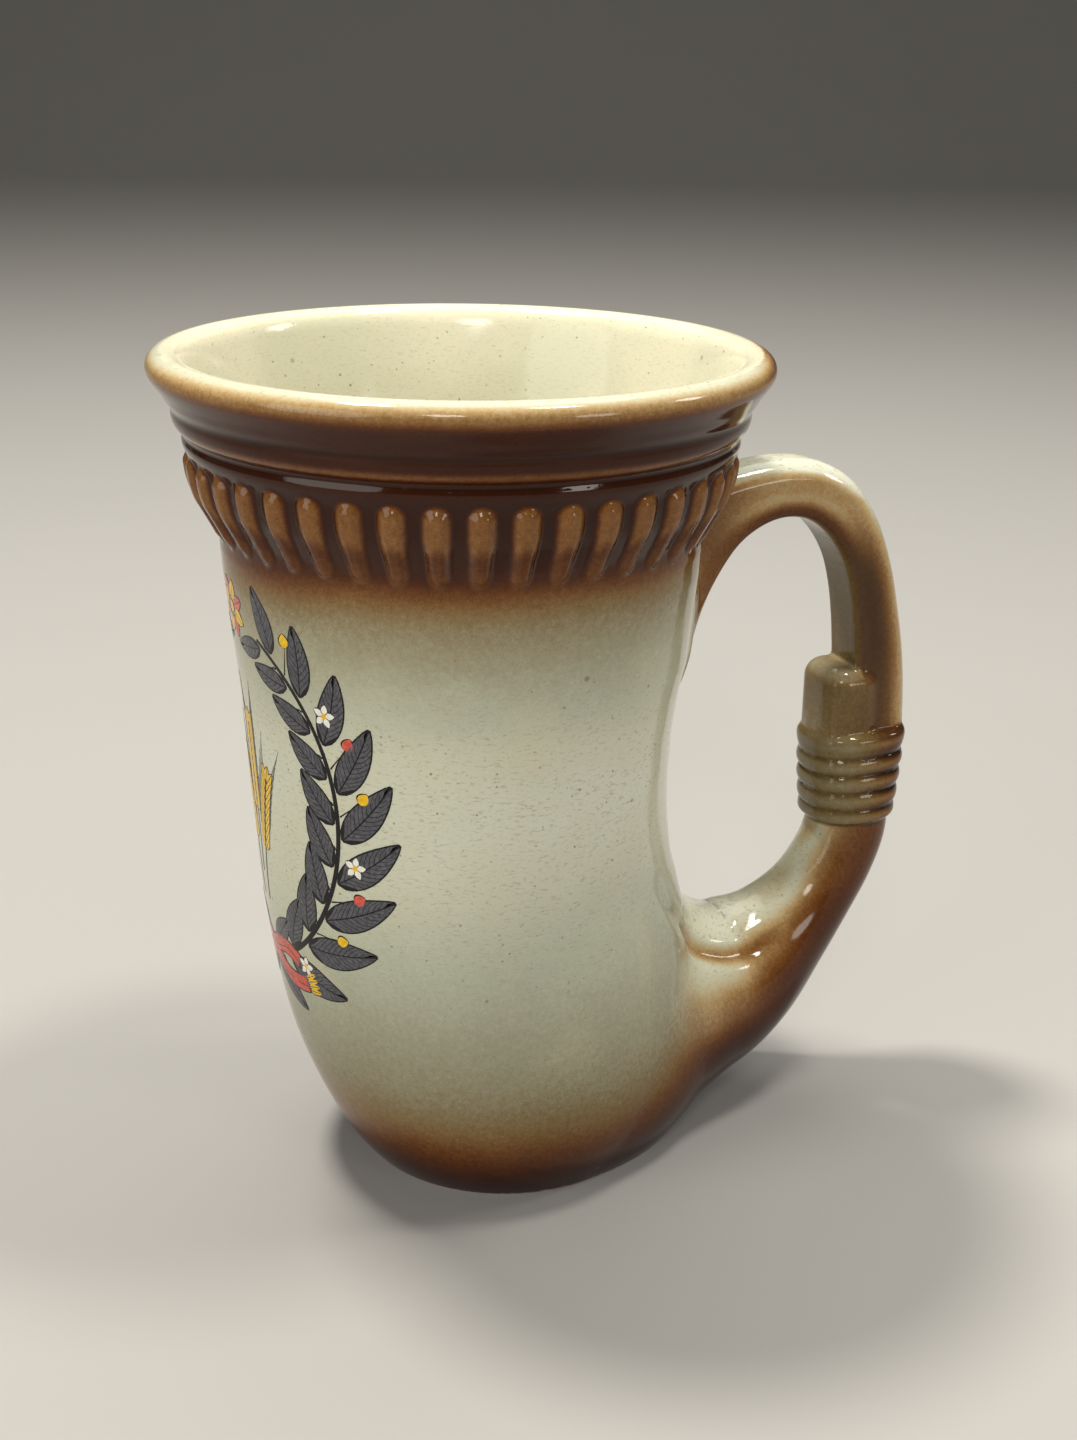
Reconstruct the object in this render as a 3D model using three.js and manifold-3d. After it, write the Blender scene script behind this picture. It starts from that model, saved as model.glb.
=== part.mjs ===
// Glazed stoneware beer mug in the shape of a drinking horn.
// Units are millimetres, +Z is up. The origin is on the cup's axis, in the plane of the foot.
// The horn's tail and the handle lie in the XZ plane, on the +X side.
import * as THREE from 'three';
import { mergeVertices } from 'three/addons/utils/BufferGeometryUtils.js';
import Module from 'manifold-3d';

const wasm = await Module();
wasm.setup();

// ---------- driving dimensions ----------
const LIP_Z = 150.0;          // centre height of the rolled lip
const GAP = 0.3;              // clearance between touching pieces
const FLUTES = 42;            // lobes round the collar band
const FLUTE_DEPTH = 1.5;      // depth of the groove between two lobes
const FLUTE_TOP = 135.6;      // height where the grooves start
const FLUTE_BOTTOM = 121.0;   // height where they run out
const FLUTE_TURN = 1.9 * Math.PI / 180;   // turn of the lobes about Z
const STRAP_WIDTH = 12.0;     // strap handle, across Y
const FOOT_EDGE = 0.35;       // softening of the foot's edge
const FLOOR_Z = 8.0;          // inside floor of the cup, above the foot
const SPLIT_X = 40.5;         // upright plane where the horn's tail is taken off the bowl
const FILLET = 9.0;           // rounding of the corner between bowl and tail
const BIND_LOW = 55.8;        // ring binding, lowest level
const BIND_HIGH = 74.2;       // ring binding, highest level

// outer profile of the collar, lip and flare: [radius, height above the foot]
const NECK = [
  [41.7, 114.0], [41.9, 117.0], [42.15, 119.2], [42.8, 121.0], [43.9, 123.2], [45.2, 125.6],
  [46.3, 128.2], [47.1, 131.0], [47.5, 133.6], [47.6, 135.6], [47.45, 137.0], [47.1, 137.7],
  [46.6, 138.2], [46.8, 138.7], [48.4, 139.1], [48.8, 139.8], [49.2, 141.0], [50.0, 143.0],
  [51.2, 145.0], [52.4, 146.6], [53.2, 148.0], [53.3, 149.0], [52.6, 150.4], [51.3, 151.35], [49.8, 151.6],
];
// inside of the lip and cup, from the crest down to where the bowl bends
const INNER = [
  [48.3, 151.2], [47.1, 150.2], [46.3, 148.6], [45.3, 145.0], [43.6, 139.0], [41.7, 131.0], [39.8, 122.0],
  [38.2, 112.0], [36.6, 96.0], [34.9, 76.0],
];
// lower inside: [height, wall thickness at the thinnest side, share of the width left]
const INNER_LOW = [[58, 3.5, 1], [46, 3.9, 1], [34, 4.4, 1], [24, 5.0, 1], [17, 5.6, 0.93], [12, 6, 0.78], [9.2, 6, 0.55], [8.2, 6, 0.3]];

// The horn as a chain of balls along its bent centre line: [x, z, radius].
const HORN = [
  [0, 117.0, 41.75], [0, 96.0, 39.6], [0, 76.0, 38.15], [0, 57.6, 36.8], [3.0, 38.7, 36.6], [7.4, 25.8, 36.0],
  [9.0, 20.5, 33.8],
];
const TAIL = [
  [9.0, 20.5, 33.8], [18.5, 19.2, 30.5], [30.1, 20.9, 25.0], [42.0, 22.5, 20.4], [50.6, 23.2, 17.0], [57.6, 25.8, 13.8],
  [65.9, 30.9, 10.9], [73.3, 38.4, 8.8], [78.6, 46.7, 8.15], [81.0, 54.2, 8.0], [80.4, 60.5, 7.5], [78.6, 67.0, 6.95],
  [77.4, 73.0, 6.8], [77.2, 78.0, 6.8], [77.2, 82.0, 6.8],
];

// Strap handle: inner and outer edge points in the XZ plane, paired along its run.
const STRAP = [
  // inner x, z          outer x, z
  [37.0, 74.0, 33.5, 78.0],
  [38.9, 82.0, 31.5, 88.0],
  [40.6, 90.0, 30.0, 96.0],
  [42.7, 97.0, 30.0, 108.0],
  [45.2, 103.5, 33.0, 118.0],
  [48.4, 110.0, 41.0, 124.5],
  [52.0, 114.8, 49.5, 126.6],
  [56.6, 117.6, 56.6, 127.9],
  [61.5, 118.5, 62.6, 128.4],
  [66.3, 117.2, 69.4, 127.4],
  [70.5, 113.9, 76.2, 123.6],
  [74.0, 108.6, 81.5, 116.2],
  [76.0, 102.4, 84.8, 107.2],
  [77.2, 95.4, 87.0, 97.6],
  [77.9, 88.0, 88.5, 88.8],
  [78.3, 80.0, 89.3, 80.2],
  [78.5, 72.0, 89.4, 72.0],
  [78.4, 64.0, 88.9, 63.6],
  [77.8, 58.2, 87.6, 57.6],
];

// ---------- helpers ----------
function solidFrom(positions, indices) {
  let g = new THREE.BufferGeometry();
  g.setAttribute('position', new THREE.Float32BufferAttribute(positions, 3));
  g.setIndex(indices);
  g = mergeVertices(g, 1e-4);
  return g;
}

function toManifold(g) {
  const clean = g.clone();
  clean.deleteAttribute('normal');
  clean.deleteAttribute('uv');
  const m = mergeVertices(clean, 1e-4);
  const mesh = new wasm.Mesh({
    numProp: 3,
    vertProperties: new Float32Array(m.attributes.position.array),
    triVerts: new Uint32Array(m.index.array),
  });
  return new wasm.Manifold(mesh);
}

function fromManifold(solid) {
  const mesh = solid.getMesh();
  const n = mesh.vertProperties.length / mesh.numProp;
  const pos = new Float32Array(n * 3);
  for (let i = 0; i < n; i += 1) {
    for (let k = 0; k < 3; k += 1) pos[i * 3 + k] = mesh.vertProperties[i * mesh.numProp + k];
  }
  const g = new THREE.BufferGeometry();
  g.setAttribute('position', new THREE.BufferAttribute(pos, 3));
  g.setIndex(new THREE.BufferAttribute(new Uint32Array(mesh.triVerts), 1));
  return g;
}

// Joins a stack of closed rings into a skin. Rings may hold 1 or 3 times as many points as
// their neighbour. The first and last ring are closed by a fan round their middle.
function skin(rings, closeFirst = true, closeLast = true, loop = false) {
  const positions = [];
  const start = [];
  for (const ring of rings) {
    start.push(positions.length / 3);
    for (const p of ring) positions.push(p[0], p[1], p[2]);
  }
  const idx = [];
  const join = (a, b) => {
    const A = rings[a]; const B = rings[b];
    const na = A.length; const nb = B.length; const sa = start[a]; const sb = start[b];
    if (na === nb) {
      for (let i = 0; i < na; i += 1) {
        const j = (i + 1) % na;
        idx.push(sa + i, sa + j, sb + j, sa + i, sb + j, sb + i);
      }
    } else if (nb === 3 * na) {
      for (let i = 0; i < na; i += 1) {
        const j = (i + 1) % na; const k = 3 * i;
        idx.push(sa + i, sb + k + 1, sb + k, sa + i, sa + j, sb + k + 1);
        idx.push(sa + j, sb + k + 2, sb + k + 1, sa + j, sb + (k + 3) % nb, sb + k + 2);
      }
    } else if (na === 3 * nb) {
      for (let i = 0; i < nb; i += 1) {
        const j = (i + 1) % nb; const k = 3 * i;
        idx.push(sb + i, sa + k, sa + k + 1, sb + i, sa + k + 1, sb + j);
        idx.push(sb + j, sa + k + 1, sa + k + 2, sb + j, sa + k + 2, sa + (k + 3) % na);
      }
    } else throw new Error('ring sizes do not match');
  };
  for (let r = 0; r + 1 < rings.length; r += 1) join(r, r + 1);
  const cap = (r, flip) => {
    const ring = rings[r]; const n = ring.length;
    const c = [0, 0, 0];
    for (const p of ring) { c[0] += p[0] / n; c[1] += p[1] / n; c[2] += p[2] / n; }
    const ci = positions.length / 3;
    positions.push(c[0], c[1], c[2]);
    for (let i = 0; i < n; i += 1) {
      const j = (i + 1) % n;
      if (flip) idx.push(ci, start[r] + j, start[r] + i);
      else idx.push(ci, start[r] + i, start[r] + j);
    }
  };
  if (loop) join(rings.length - 1, 0);
  else {
    if (closeFirst) cap(0, true);
    if (closeLast) cap(rings.length - 1, false);
  }
  return solidFrom(positions, idx);
}

// Smooth curve through rows of numbers, sampled evenly in its own parameter.
function sampleRows(rows, count) {
  const dims = rows[0].length;
  const out = [];
  const at = (k, d) => rows[Math.max(0, Math.min(rows.length - 1, k))][d];
  for (let s = 0; s < count; s += 1) {
    const t = (s / (count - 1)) * (rows.length - 1);
    const k = Math.min(Math.floor(t), rows.length - 2);
    const u = t - k;
    const row = [];
    for (let d = 0; d < dims; d += 1) {
      const p0 = at(k - 1, d); const p1 = at(k, d); const p2 = at(k + 1, d); const p3 = at(k + 2, d);
      row.push(0.5 * ((2 * p1) + (p2 - p0) * u + (2 * p0 - 5 * p1 + 4 * p2 - p3) * u * u + (3 * p1 - p0 - 3 * p2 + p3) * u * u * u));
    }
    out.push(row);
  }
  return out;
}

const hornBalls = sampleRows(HORN, 240);
const tailBalls = sampleRows(TAIL, 260);

// Distance to the nearest ball of a chain, and the direction away from it.
function chainDistance(balls, x, y, z) {
  let best = 1e9; let at = null;
  for (const b of balls) {
    const d = Math.hypot(x - b[0], y, z - b[1]) - b[2];
    if (d < best) { best = d; at = b; }
  }
  const dx = x - at[0]; const dz = z - at[1];
  const len = Math.hypot(dx, y, dz) || 1;
  return [best, dx / len, y / len, dz / len];
}

// Bowl and tail as one shape, with a rounded corner only where their surfaces turn away from each other.
function hornField(x, y, z) {
  const [a, ax, ay, az] = chainDistance(hornBalls, x, y, z);
  const [b, bx, by, bz] = chainDistance(tailBalls, x, y, z);
  const k = FILLET * Math.min(1, 1 - (ax * bx + ay * by + az * bz));
  if (k < 1e-6) return Math.min(a, b);
  const h = Math.max(k - Math.abs(a - b), 0) / k;
  return Math.min(a, b) - h * h * k / 4;
}

// Distance from (x, y, z) along (dx, dy, dz) to the skin of the horn, grown by grow.
function castOut(x, y, z, dx, dy, dz, far, grow) {
  const step = 1.5;
  let lo = 0; let hi = -1;
  for (let t = step; t <= far; t += step) {
    if (hornField(x + dx * t, y + dy * t, z + dz * t) - grow > 0) { hi = t; break; }
    lo = t;
  }
  if (hi < 0) return far;
  for (let i = 0; i < 22; i += 1) {
    const m = (lo + hi) / 2;
    if (hornField(x + dx * m, y + dy * m, z + dz * m) - grow > 0) hi = m; else lo = m;
  }
  return (lo + hi) / 2;
}


// Radius of the bowl about (cx, z) in direction th, as the envelope of the balls.
function bowlRadius(cx, z, th) {
  let best = 0;
  const c = Math.cos(th); const s = Math.sin(th);
  for (const [bx, bz, br] of hornBalls) {
    const h2 = br * br - (z - bz) * (z - bz);
    if (h2 <= 0) continue;
    const dx = bx - cx;
    const q = h2 - (dx * s) * (dx * s);
    if (q <= 0) continue;
    const t = dx * c + Math.sqrt(q);
    if (t > best) best = t;
  }
  return best;
}

function profileRadius(rows, z) {
  for (let i = 0; i + 1 < rows.length; i += 1) {
    const [ra, za] = rows[i]; const [rb, zb] = rows[i + 1];
    if ((z >= za && z <= zb) || (z <= za && z >= zb)) return ra + (rb - ra) * (z - za) / (zb - za || 1);
  }
  return rows[rows.length - 1][0];
}

// Depth of the scoops: rounded at the top, fading out at the bottom.
function fluteDepth(z) {
  if (z >= FLUTE_TOP || z <= FLUTE_BOTTOM) return 0;
  const a = Math.min(1, (FLUTE_TOP - z) / 3.0);
  const b = Math.min(1, (z - FLUTE_BOTTOM) / 4.5);
  return FLUTE_DEPTH * Math.sqrt(a) * b;
}

const COARSE = FLUTES;
const FINE = FLUTES * 3;

function bowlCentre(z) {
  return z < 58 ? 9.0 * ((58 - z) / 58) ** 1.15 : 0;
}

function bowlRing(z, n, grow = 0) {
  const cx = bowlCentre(z);
  const ring = [];
  for (let i = 0; i < n; i += 1) {
    const th = FLUTE_TURN + (i / n) * Math.PI * 2;
    const r = z < 60 ? castOut(cx, 0, z, Math.cos(th), Math.sin(th), 0, 62, grow) : bowlRadius(cx, z, th) + grow;
    ring.push([cx + r * Math.cos(th), r * Math.sin(th), z]);
  }
  return ring;
}

function roundRing(r, z, n, cx = 0) {
  const ring = [];
  for (let i = 0; i < n; i += 1) {
    const th = FLUTE_TURN + (i / n) * Math.PI * 2;
    ring.push([cx + r * Math.cos(th), r * Math.sin(th), z]);
  }
  return ring;
}

function flutedRing(r, z) {
  const ring = [];
  const d = fluteDepth(z);
  for (let i = 0; i < FINE; i += 1) {
    const th = FLUTE_TURN + (i / FINE) * Math.PI * 2;
    const rr = i % 3 === 0 ? r - d : r;
    ring.push([rr * Math.cos(th), rr * Math.sin(th), z]);
  }
  return ring;
}

function boxSolid(x0, x1, y0, y1, z0, z1) {
  const g = new THREE.BoxGeometry(x1 - x0, y1 - y0, z1 - z0);
  g.translate((x0 + x1) / 2, (y0 + y1) / 2, (z0 + z1) / 2);
  return toManifold(g);
}

const BOWL_LEVELS = [0.8, 3.4, 7, 11.5, 16, 21, 26, 31, 35.5, 39.5, 43, 46, 49, 52, 56, 61, 70, 84, 100, 112];

// ---------- cup body: foot, bowl, collar, lip and hollow inside ----------
function cupBody() {
  const rings = [];
  rings.push(bowlRing(0, COARSE, -FOOT_EDGE));
  for (const z of BOWL_LEVELS) rings.push(bowlRing(z, COARSE));
  for (const [r, z] of NECK) {
    if (z < 116) continue;
    if (z >= FLUTE_BOTTOM - 2.5 && z <= FLUTE_TOP + 0.1) rings.push(flutedRing(r, z));
    else rings.push(roundRing(r, z, COARSE));
  }
  for (const [r, z] of INNER) rings.push(roundRing(r, z, COARSE));
  let last = 0; let lastX = 0;
  for (const [z, wall, share] of INNER_LOW) {
    if (share === 1) {
      const cx = bowlCentre(z);
      let near = 1e9;
      for (let i = 0; i < 24; i += 1) {
        const th = (i / 24) * Math.PI * 2;
        near = Math.min(near, castOut(cx, 0, z, Math.cos(th), Math.sin(th), 0, 60, 0));
      }
      last = near - wall; lastX = cx;
      rings.push(roundRing(last, z, COARSE, cx));
    } else rings.push(roundRing(last * share, z, COARSE, lastX + 0.6 * (1 - share)));
  }
  rings.push(roundRing(0.02, FLOOR_Z, COARSE, lastX + 0.6));
  // the tail's root leaves the bowl at an upright plane
  return toManifold(skin(rings)).subtract(boxSolid(SPLIT_X, 200, -100, 100, -10, 58));
}

// Solid filling of the cup's outer shape, a little larger, that cuts its neighbours clear.
function cupCutter(grow) {
  const rings = [bowlRing(0, COARSE, grow)];
  for (const z of BOWL_LEVELS) rings.push(bowlRing(z, COARSE, grow));
  for (const [r, z] of NECK) {
    if (z < 116 || z > 138) continue;
    rings.push(roundRing(r + grow, z, COARSE));
  }
  rings.push(roundRing(47.4 + grow, 146, COARSE));
  return toManifold(skin(rings));
}

// ---------- horn tail: sections square to its centre line, from the split plane to the tip ----------
function tailSolidOf(grow, root) {
  const rows = sampleRows(TAIL, 400).filter((p) => p[0] > (root ? SPLIT_X + GAP : 48));
  const count = 34; const n = 26;
  const rings = [];
  for (let i = 0; i < count; i += 1) {
    const j = Math.round((i / (count - 1)) ** 0.95 * (rows.length - 1));
    const a = rows[Math.max(0, j - 2)]; const b = rows[Math.min(rows.length - 1, j + 2)];
    let tx = b[0] - a[0]; let tz = b[1] - a[1];
    if (i === 0 && root) { tx = 1; tz = 0; }
    const len = Math.hypot(tx, tz); tx /= len; tz /= len;
    const x = i === 0 && root ? SPLIT_X + GAP : rows[j][0]; const z = rows[j][1];
    const ring = [];
    for (let k = 0; k < n; k += 1) {
      const th = (k / n) * Math.PI * 2;
      const cu = Math.cos(th); const sv = Math.sin(th);
      const r = root && x < 66 ? castOut(x, 0, z, cu * -tz, sv, cu * tx, 60, grow) : rows[j][2] + grow;
      ring.push([x - r * cu * tz, r * sv, z + r * cu * tx]);
    }
    rings.push(ring);
  }
  const [x, z, r0] = TAIL[TAIL.length - 1];
  const r = r0 + grow;
  for (const a of [0.3, 0.6, 0.9, 1.15, 1.38]) {
    const ring = [];
    for (let k = 0; k < n; k += 1) {
      const th = (k / n) * Math.PI * 2;
      const u = r * Math.cos(a);
      ring.push([x - u * Math.cos(th), u * Math.sin(th), z + r * Math.sin(a)]);
    }
    rings.push(ring);
  }
  let m = toManifold(skin(rings));
  if (m.volume() < 0) m = toManifold(skin(rings.map((q) => q.slice().reverse())));
  return m;
}

// ---------- strap handle ----------
function strapSection(row, width, grow) {
  const [ix, iz, ox, oz] = row;
  const cx = (ix + ox) / 2; const cz = (iz + oz) / 2;
  const half = Math.hypot(ox - ix, oz - iz) / 2 + grow;
  const ux = (ox - ix) / (2 * (half - grow)); const uz = (oz - iz) / (2 * (half - grow));
  const hw = width / 2 + grow;
  const ro = Math.min(3.6, half * 0.72, hw * 0.72);   // outer edges, softly rounded
  const ri = Math.min(1.9, half * 0.4, hw * 0.4);     // inner edges, firmer
  const flat = [];
  const corner = (su, sv, r, a0) => {
    for (let k = 0; k < 4; k += 1) {
      const a = a0 + (k / 3) * Math.PI / 2;
      flat.push([su * (half - r) + r * Math.cos(a), sv * (hw - r) + r * Math.sin(a)]);
    }
  };
  corner(1, 1, ro, 0);
  corner(-1, 1, ri, Math.PI / 2);
  corner(-1, -1, ri, Math.PI);
  corner(1, -1, ro, 1.5 * Math.PI);
  return flat.map(([u, v]) => [cx + u * ux, v, cz + u * uz]);
}

function strapSolid(grow) {
  const rows = sampleRows(STRAP, 40);
  const rings = rows.map((row) => strapSection(row, STRAP_WIDTH, grow));
  let g = skin(rings);
  let m = toManifold(g);
  if (m.volume() < 0) {
    g = skin(rings.map((r) => r.slice().reverse()));
    m = toManifold(g);
  }
  return m;
}

// ---------- ring binding: a rounded loop with four raised rings and a collar ----------
// Whether a point lies in the strap's leg, which stands nearly upright here.
function inLeg(x, y, z) {
  if (z < 56.9) return false;
  const n = STRAP.length;
  let row = STRAP[n - 1];
  for (let i = n - 2; i > 0; i -= 1) {
    const a = STRAP[i + 1]; const b = STRAP[i];
    if (z >= a[3] && z <= b[3]) {
      const t = (z - a[3]) / (b[3] - a[3]);
      row = [a[0] + (b[0] - a[0]) * t, 0, a[2] + (b[2] - a[2]) * t];
      break;
    }
  }
  return x > row[0] && x < row[2] && Math.abs(y) < STRAP_WIDTH / 2;
}

// How far the horn and the strap reach from (cx, 0, z) in direction th.
function coreReach(cx, z, th) {
  const c = Math.cos(th); const s = Math.sin(th);
  let reach = 0;
  for (let t = 0; t < 16; t += 0.1) {
    const x = cx + c * t; const y = s * t;
    if (inLeg(x, y, z) || chainDistance(tailBalls, x, y, z)[0] < 0) reach = t;
  }
  return reach + 0.1;
}

function bindingSolidOf() {
  // [height above the lowest level, how far the ring stands out]
  const beads = [
    [0.0, -0.1], [0.5, 0.75], [1.55, 1.35], [2.6, 0.9], [3.1, 0.5],
    [3.9, 1.25], [5.0, 1.65], [6.1, 1.15], [6.7, 0.65],
    [7.5, 1.4], [8.6, 1.8], [9.7, 1.3], [10.3, 0.75],
    [11.1, 1.45], [12.2, 1.8], [13.2, 1.25], [13.8, 0.8],
    [14.7, 1.45], [16.2, 1.7], [17.5, 1.1], [18.2, 0.3], [18.4, -0.2],
  ];
  const n = 36;
  const span = (z) => {
    const t = (z - BIND_LOW) / (BIND_HIGH - BIND_LOW);
    return { t, low: 73.0 - 1.0 * t, high: 88.2 + 1.2 * t, half: 8.0 - 0.8 * t };
  };
  const core = (z) => {
    const { low, high } = span(z);
    const cx = (low + high) / 2;
    return Array.from({ length: n }, (_, k) => coreReach(cx, z, (k / n) * Math.PI * 2) + GAP);
  };
  const ringAt = (z, radii) => {
    const { low, high } = span(z);
    const cx = (low + high) / 2;
    return radii.map((r, k) => [cx + r * Math.cos((k / n) * Math.PI * 2), r * Math.sin((k / n) * Math.PI * 2), z]);
  };
  const rings = [];
  for (const [h, out] of beads) {
    const z = BIND_LOW + h;
    const { t, low, high, half } = span(z);
    const hx = (high - low) / 2 + out; const hy = half + out; const e = 2.25 + 0.35 * t;
    const inner = core(z);
    rings.push(ringAt(z, inner.map((r, k) => {
      const th = (k / n) * Math.PI * 2;
      const loop = (Math.abs(Math.cos(th) / hx) ** e + Math.abs(Math.sin(th) / hy) ** e) ** (-1 / e);
      return Math.max(loop, r + 0.75 + 0.35 * out);
    })));
  }
  for (const z of [BIND_HIGH, 70, 66, 62, 58.6, 57, BIND_LOW]) rings.push(ringAt(z, core(z)));
  let m = toManifold(skin(rings, false, false, true));
  if (m.volume() < 0) m = toManifold(skin(rings.map((q) => q.slice().reverse()), false, false, true));
  return m;
}

// ---------- assembly ----------
function material(color, roughness) {
  return new THREE.MeshStandardMaterial({ color, roughness, metalness: 0 });
}

const cupSolid = cupBody();
const cutter = cupCutter(GAP);

const tailSolid = tailSolidOf(0, true).subtract(boxSolid(-150, 150, -150, 150, -100, 0));
const tailGrown = tailSolidOf(GAP, false);

const strapTrim = strapSolid(0).subtract(cutter).subtract(tailGrown);
const bindingSolid = bindingSolidOf();

function largest(solid) {
  const parts = solid.decompose();
  parts.sort((a, b) => b.volume() - a.volume());
  return parts[0];
}

const group = new THREE.Group();
function add(name, geometry, mat) {
  const mesh = new THREE.Mesh(geometry, mat);
  mesh.name = name;
  group.add(mesh);
}

add('cup_body', fromManifold(largest(cupSolid)), material(0xbdb9a0, 0.18));
add('horn_tail', fromManifold(largest(tailSolid)), material(0x9a6a3c, 0.18));
add('strap_handle', fromManifold(largest(strapTrim)), material(0xb09368, 0.18));
add('ring_binding', fromManifold(largest(bindingSolid)), material(0xa08862, 0.2));

export default group;
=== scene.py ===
import math

import bpy
import numpy as np
from mathutils import Matrix, Vector


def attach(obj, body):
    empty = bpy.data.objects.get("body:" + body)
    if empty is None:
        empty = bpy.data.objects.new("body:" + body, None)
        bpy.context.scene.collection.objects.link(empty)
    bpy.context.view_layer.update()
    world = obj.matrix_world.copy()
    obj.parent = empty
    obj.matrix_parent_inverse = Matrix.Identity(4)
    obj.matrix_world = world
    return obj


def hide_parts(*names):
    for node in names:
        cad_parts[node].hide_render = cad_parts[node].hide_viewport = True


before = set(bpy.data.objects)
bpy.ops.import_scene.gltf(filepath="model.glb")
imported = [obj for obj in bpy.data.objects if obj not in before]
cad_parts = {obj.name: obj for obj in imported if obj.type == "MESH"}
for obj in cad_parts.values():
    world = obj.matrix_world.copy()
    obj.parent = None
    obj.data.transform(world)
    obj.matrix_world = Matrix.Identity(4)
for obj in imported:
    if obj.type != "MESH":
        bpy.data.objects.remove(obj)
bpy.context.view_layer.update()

# ---------------------------------------------------------------- driving dimensions, in mm
GRID = 0.56      # spacing of the lattice that the skin is drawn from
FACES = 240000                          # triangles that the whole skin is thinned to
LOBES = 42
LOBE_TURN = math.radians(1.9)
LOBE_RELIEF = 1.3
SPLIT_X = 40.65
FILLET = 9.0
STRAP_HALF = 6.0
BIND_LOW, BIND_HIGH = 55.8, 74.2

# outer profile from the collar's foot over the lip: radius, height
NECK = [
    (41.7, 114.0), (41.9, 117.0), (42.15, 119.2), (42.8, 121.0), (43.9, 123.2), (45.2, 125.6),
    (46.6, 128.2), (47.4, 131.0), (47.7, 133.6), (47.8, 135.6), (47.78, 136.4), (47.7, 137.0), (47.52, 137.5),
    (47.48, 137.9), (47.62, 138.3), (48.0, 138.7), (48.5, 139.15), (48.95, 139.75), (49.25, 140.5), (49.38, 141.3), (49.36, 142.0),
    (49.4, 142.5), (49.7, 143.1), (50.35, 144.0), (51.15, 145.3), (52.1, 146.6), (52.85, 147.7), (53.2, 148.7), (53.1, 149.7), (52.6, 150.6),
    (51.7, 151.25), (50.5, 151.55), (49.4, 151.5),
]
# inside, from the crest down to the floor
INNER = [
    (48.3, 151.2), (47.3, 150.3), (46.6, 148.9), (46.0, 147.0), (45.3, 144.6), (43.6, 138.5), (41.7, 131.0), (39.8, 122.0),
    (38.2, 112.0), (36.6, 96.0), (34.9, 76.0), (33.2, 58.0), (32.7, 46.0), (31.9, 34.0), (30.3, 24.0), (27.8, 17.0), (23.2, 12.0),
    (16.5, 9.2), (9.0, 8.2), (0.0, 8.0),
]
# the horn as balls along its bent centre line: x, z, radius
HORN = [
    (0, 117.0, 41.75), (0, 96.0, 39.6), (0, 76.0, 38.15), (0, 57.6, 36.8), (3.0, 38.7, 36.6), (7.4, 25.8, 36.0), (9.0, 20.5, 33.8),
]
TAIL = [
    (9.0, 20.5, 33.8), (18.5, 19.2, 30.5), (30.1, 20.4, 24.5), (42.0, 21.72, 19.62), (50.6, 22.5, 16.55), (57.9, 25.3, 14.0),
    (65.9, 30.9, 10.9), (73.3, 38.4, 8.8), (78.6, 46.7, 8.15), (81.0, 54.2, 8.0), (80.4, 60.5, 7.5), (78.6, 67.0, 6.95),
    (77.5, 73.0, 6.4), (77.6, 76.0, 5.9), (77.7, 79.0, 5.3),
]
# strap: inner x, z and outer x, z, paired along its run
STRAP = [
    (36.6, 74.0, 33.5, 78.0), (38.3, 82.0, 31.5, 88.0), (40.2, 90.0, 30.0, 96.0), (42.6, 97.0, 30.0, 108.0),
    (45.3, 103.3, 33.0, 118.4), (48.7, 109.5, 41.0, 125.0), (52.3, 114.1, 49.5, 127.1), (56.8, 117.0, 56.6, 128.3),
    (61.5, 118.1, 62.6, 128.6), (66.3, 117.2, 69.4, 127.5), (70.5, 113.9, 76.2, 123.5), (74.0, 108.6, 81.6, 116.2),
    (76.0, 102.4, 85.2, 107.3), (77.2, 95.4, 87.6, 97.8), (77.9, 88.0, 89.3, 88.9), (78.3, 80.0, 90.2, 80.2),
    (78.5, 72.0, 90.4, 72.0), (78.4, 64.0, 89.8, 63.6), (77.8, 58.2, 88.4, 57.6),
]


# ---------------------------------------------------------------- curves and fields
def smooth_rows(rows, count):
    """Catmull-Rom curve through rows of numbers."""
    rows = np.asarray(rows, float)
    m = len(rows)
    t = np.linspace(0, m - 1, count)
    k = np.minimum(t.astype(int), m - 2)
    u = (t - k)[:, None]
    g = lambda i: rows[np.clip(i, 0, m - 1)]
    p0, p1, p2, p3 = g(k - 1), g(k), g(k + 1), g(k + 2)
    return 0.5 * (2 * p1 + (p2 - p0) * u + (2 * p0 - 5 * p1 + 4 * p2 - p3) * u * u + (3 * p1 - p0 - 3 * p2 + p3) * u ** 3)


def even(points, step):
    """The same polyline with points about step apart."""
    d = np.r_[0, np.cumsum(np.hypot(*np.diff(points, axis=0).T))]
    s = np.linspace(0, d[-1], max(2, int(d[-1] / step)))
    return np.stack([np.interp(s, d, points[:, 0]), np.interp(s, d, points[:, 1])], 1)


def smoothstep(a, b, x):
    t = np.clip((x - a) / (b - a), 0, 1)
    return t * t * (3 - 2 * t)


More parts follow.
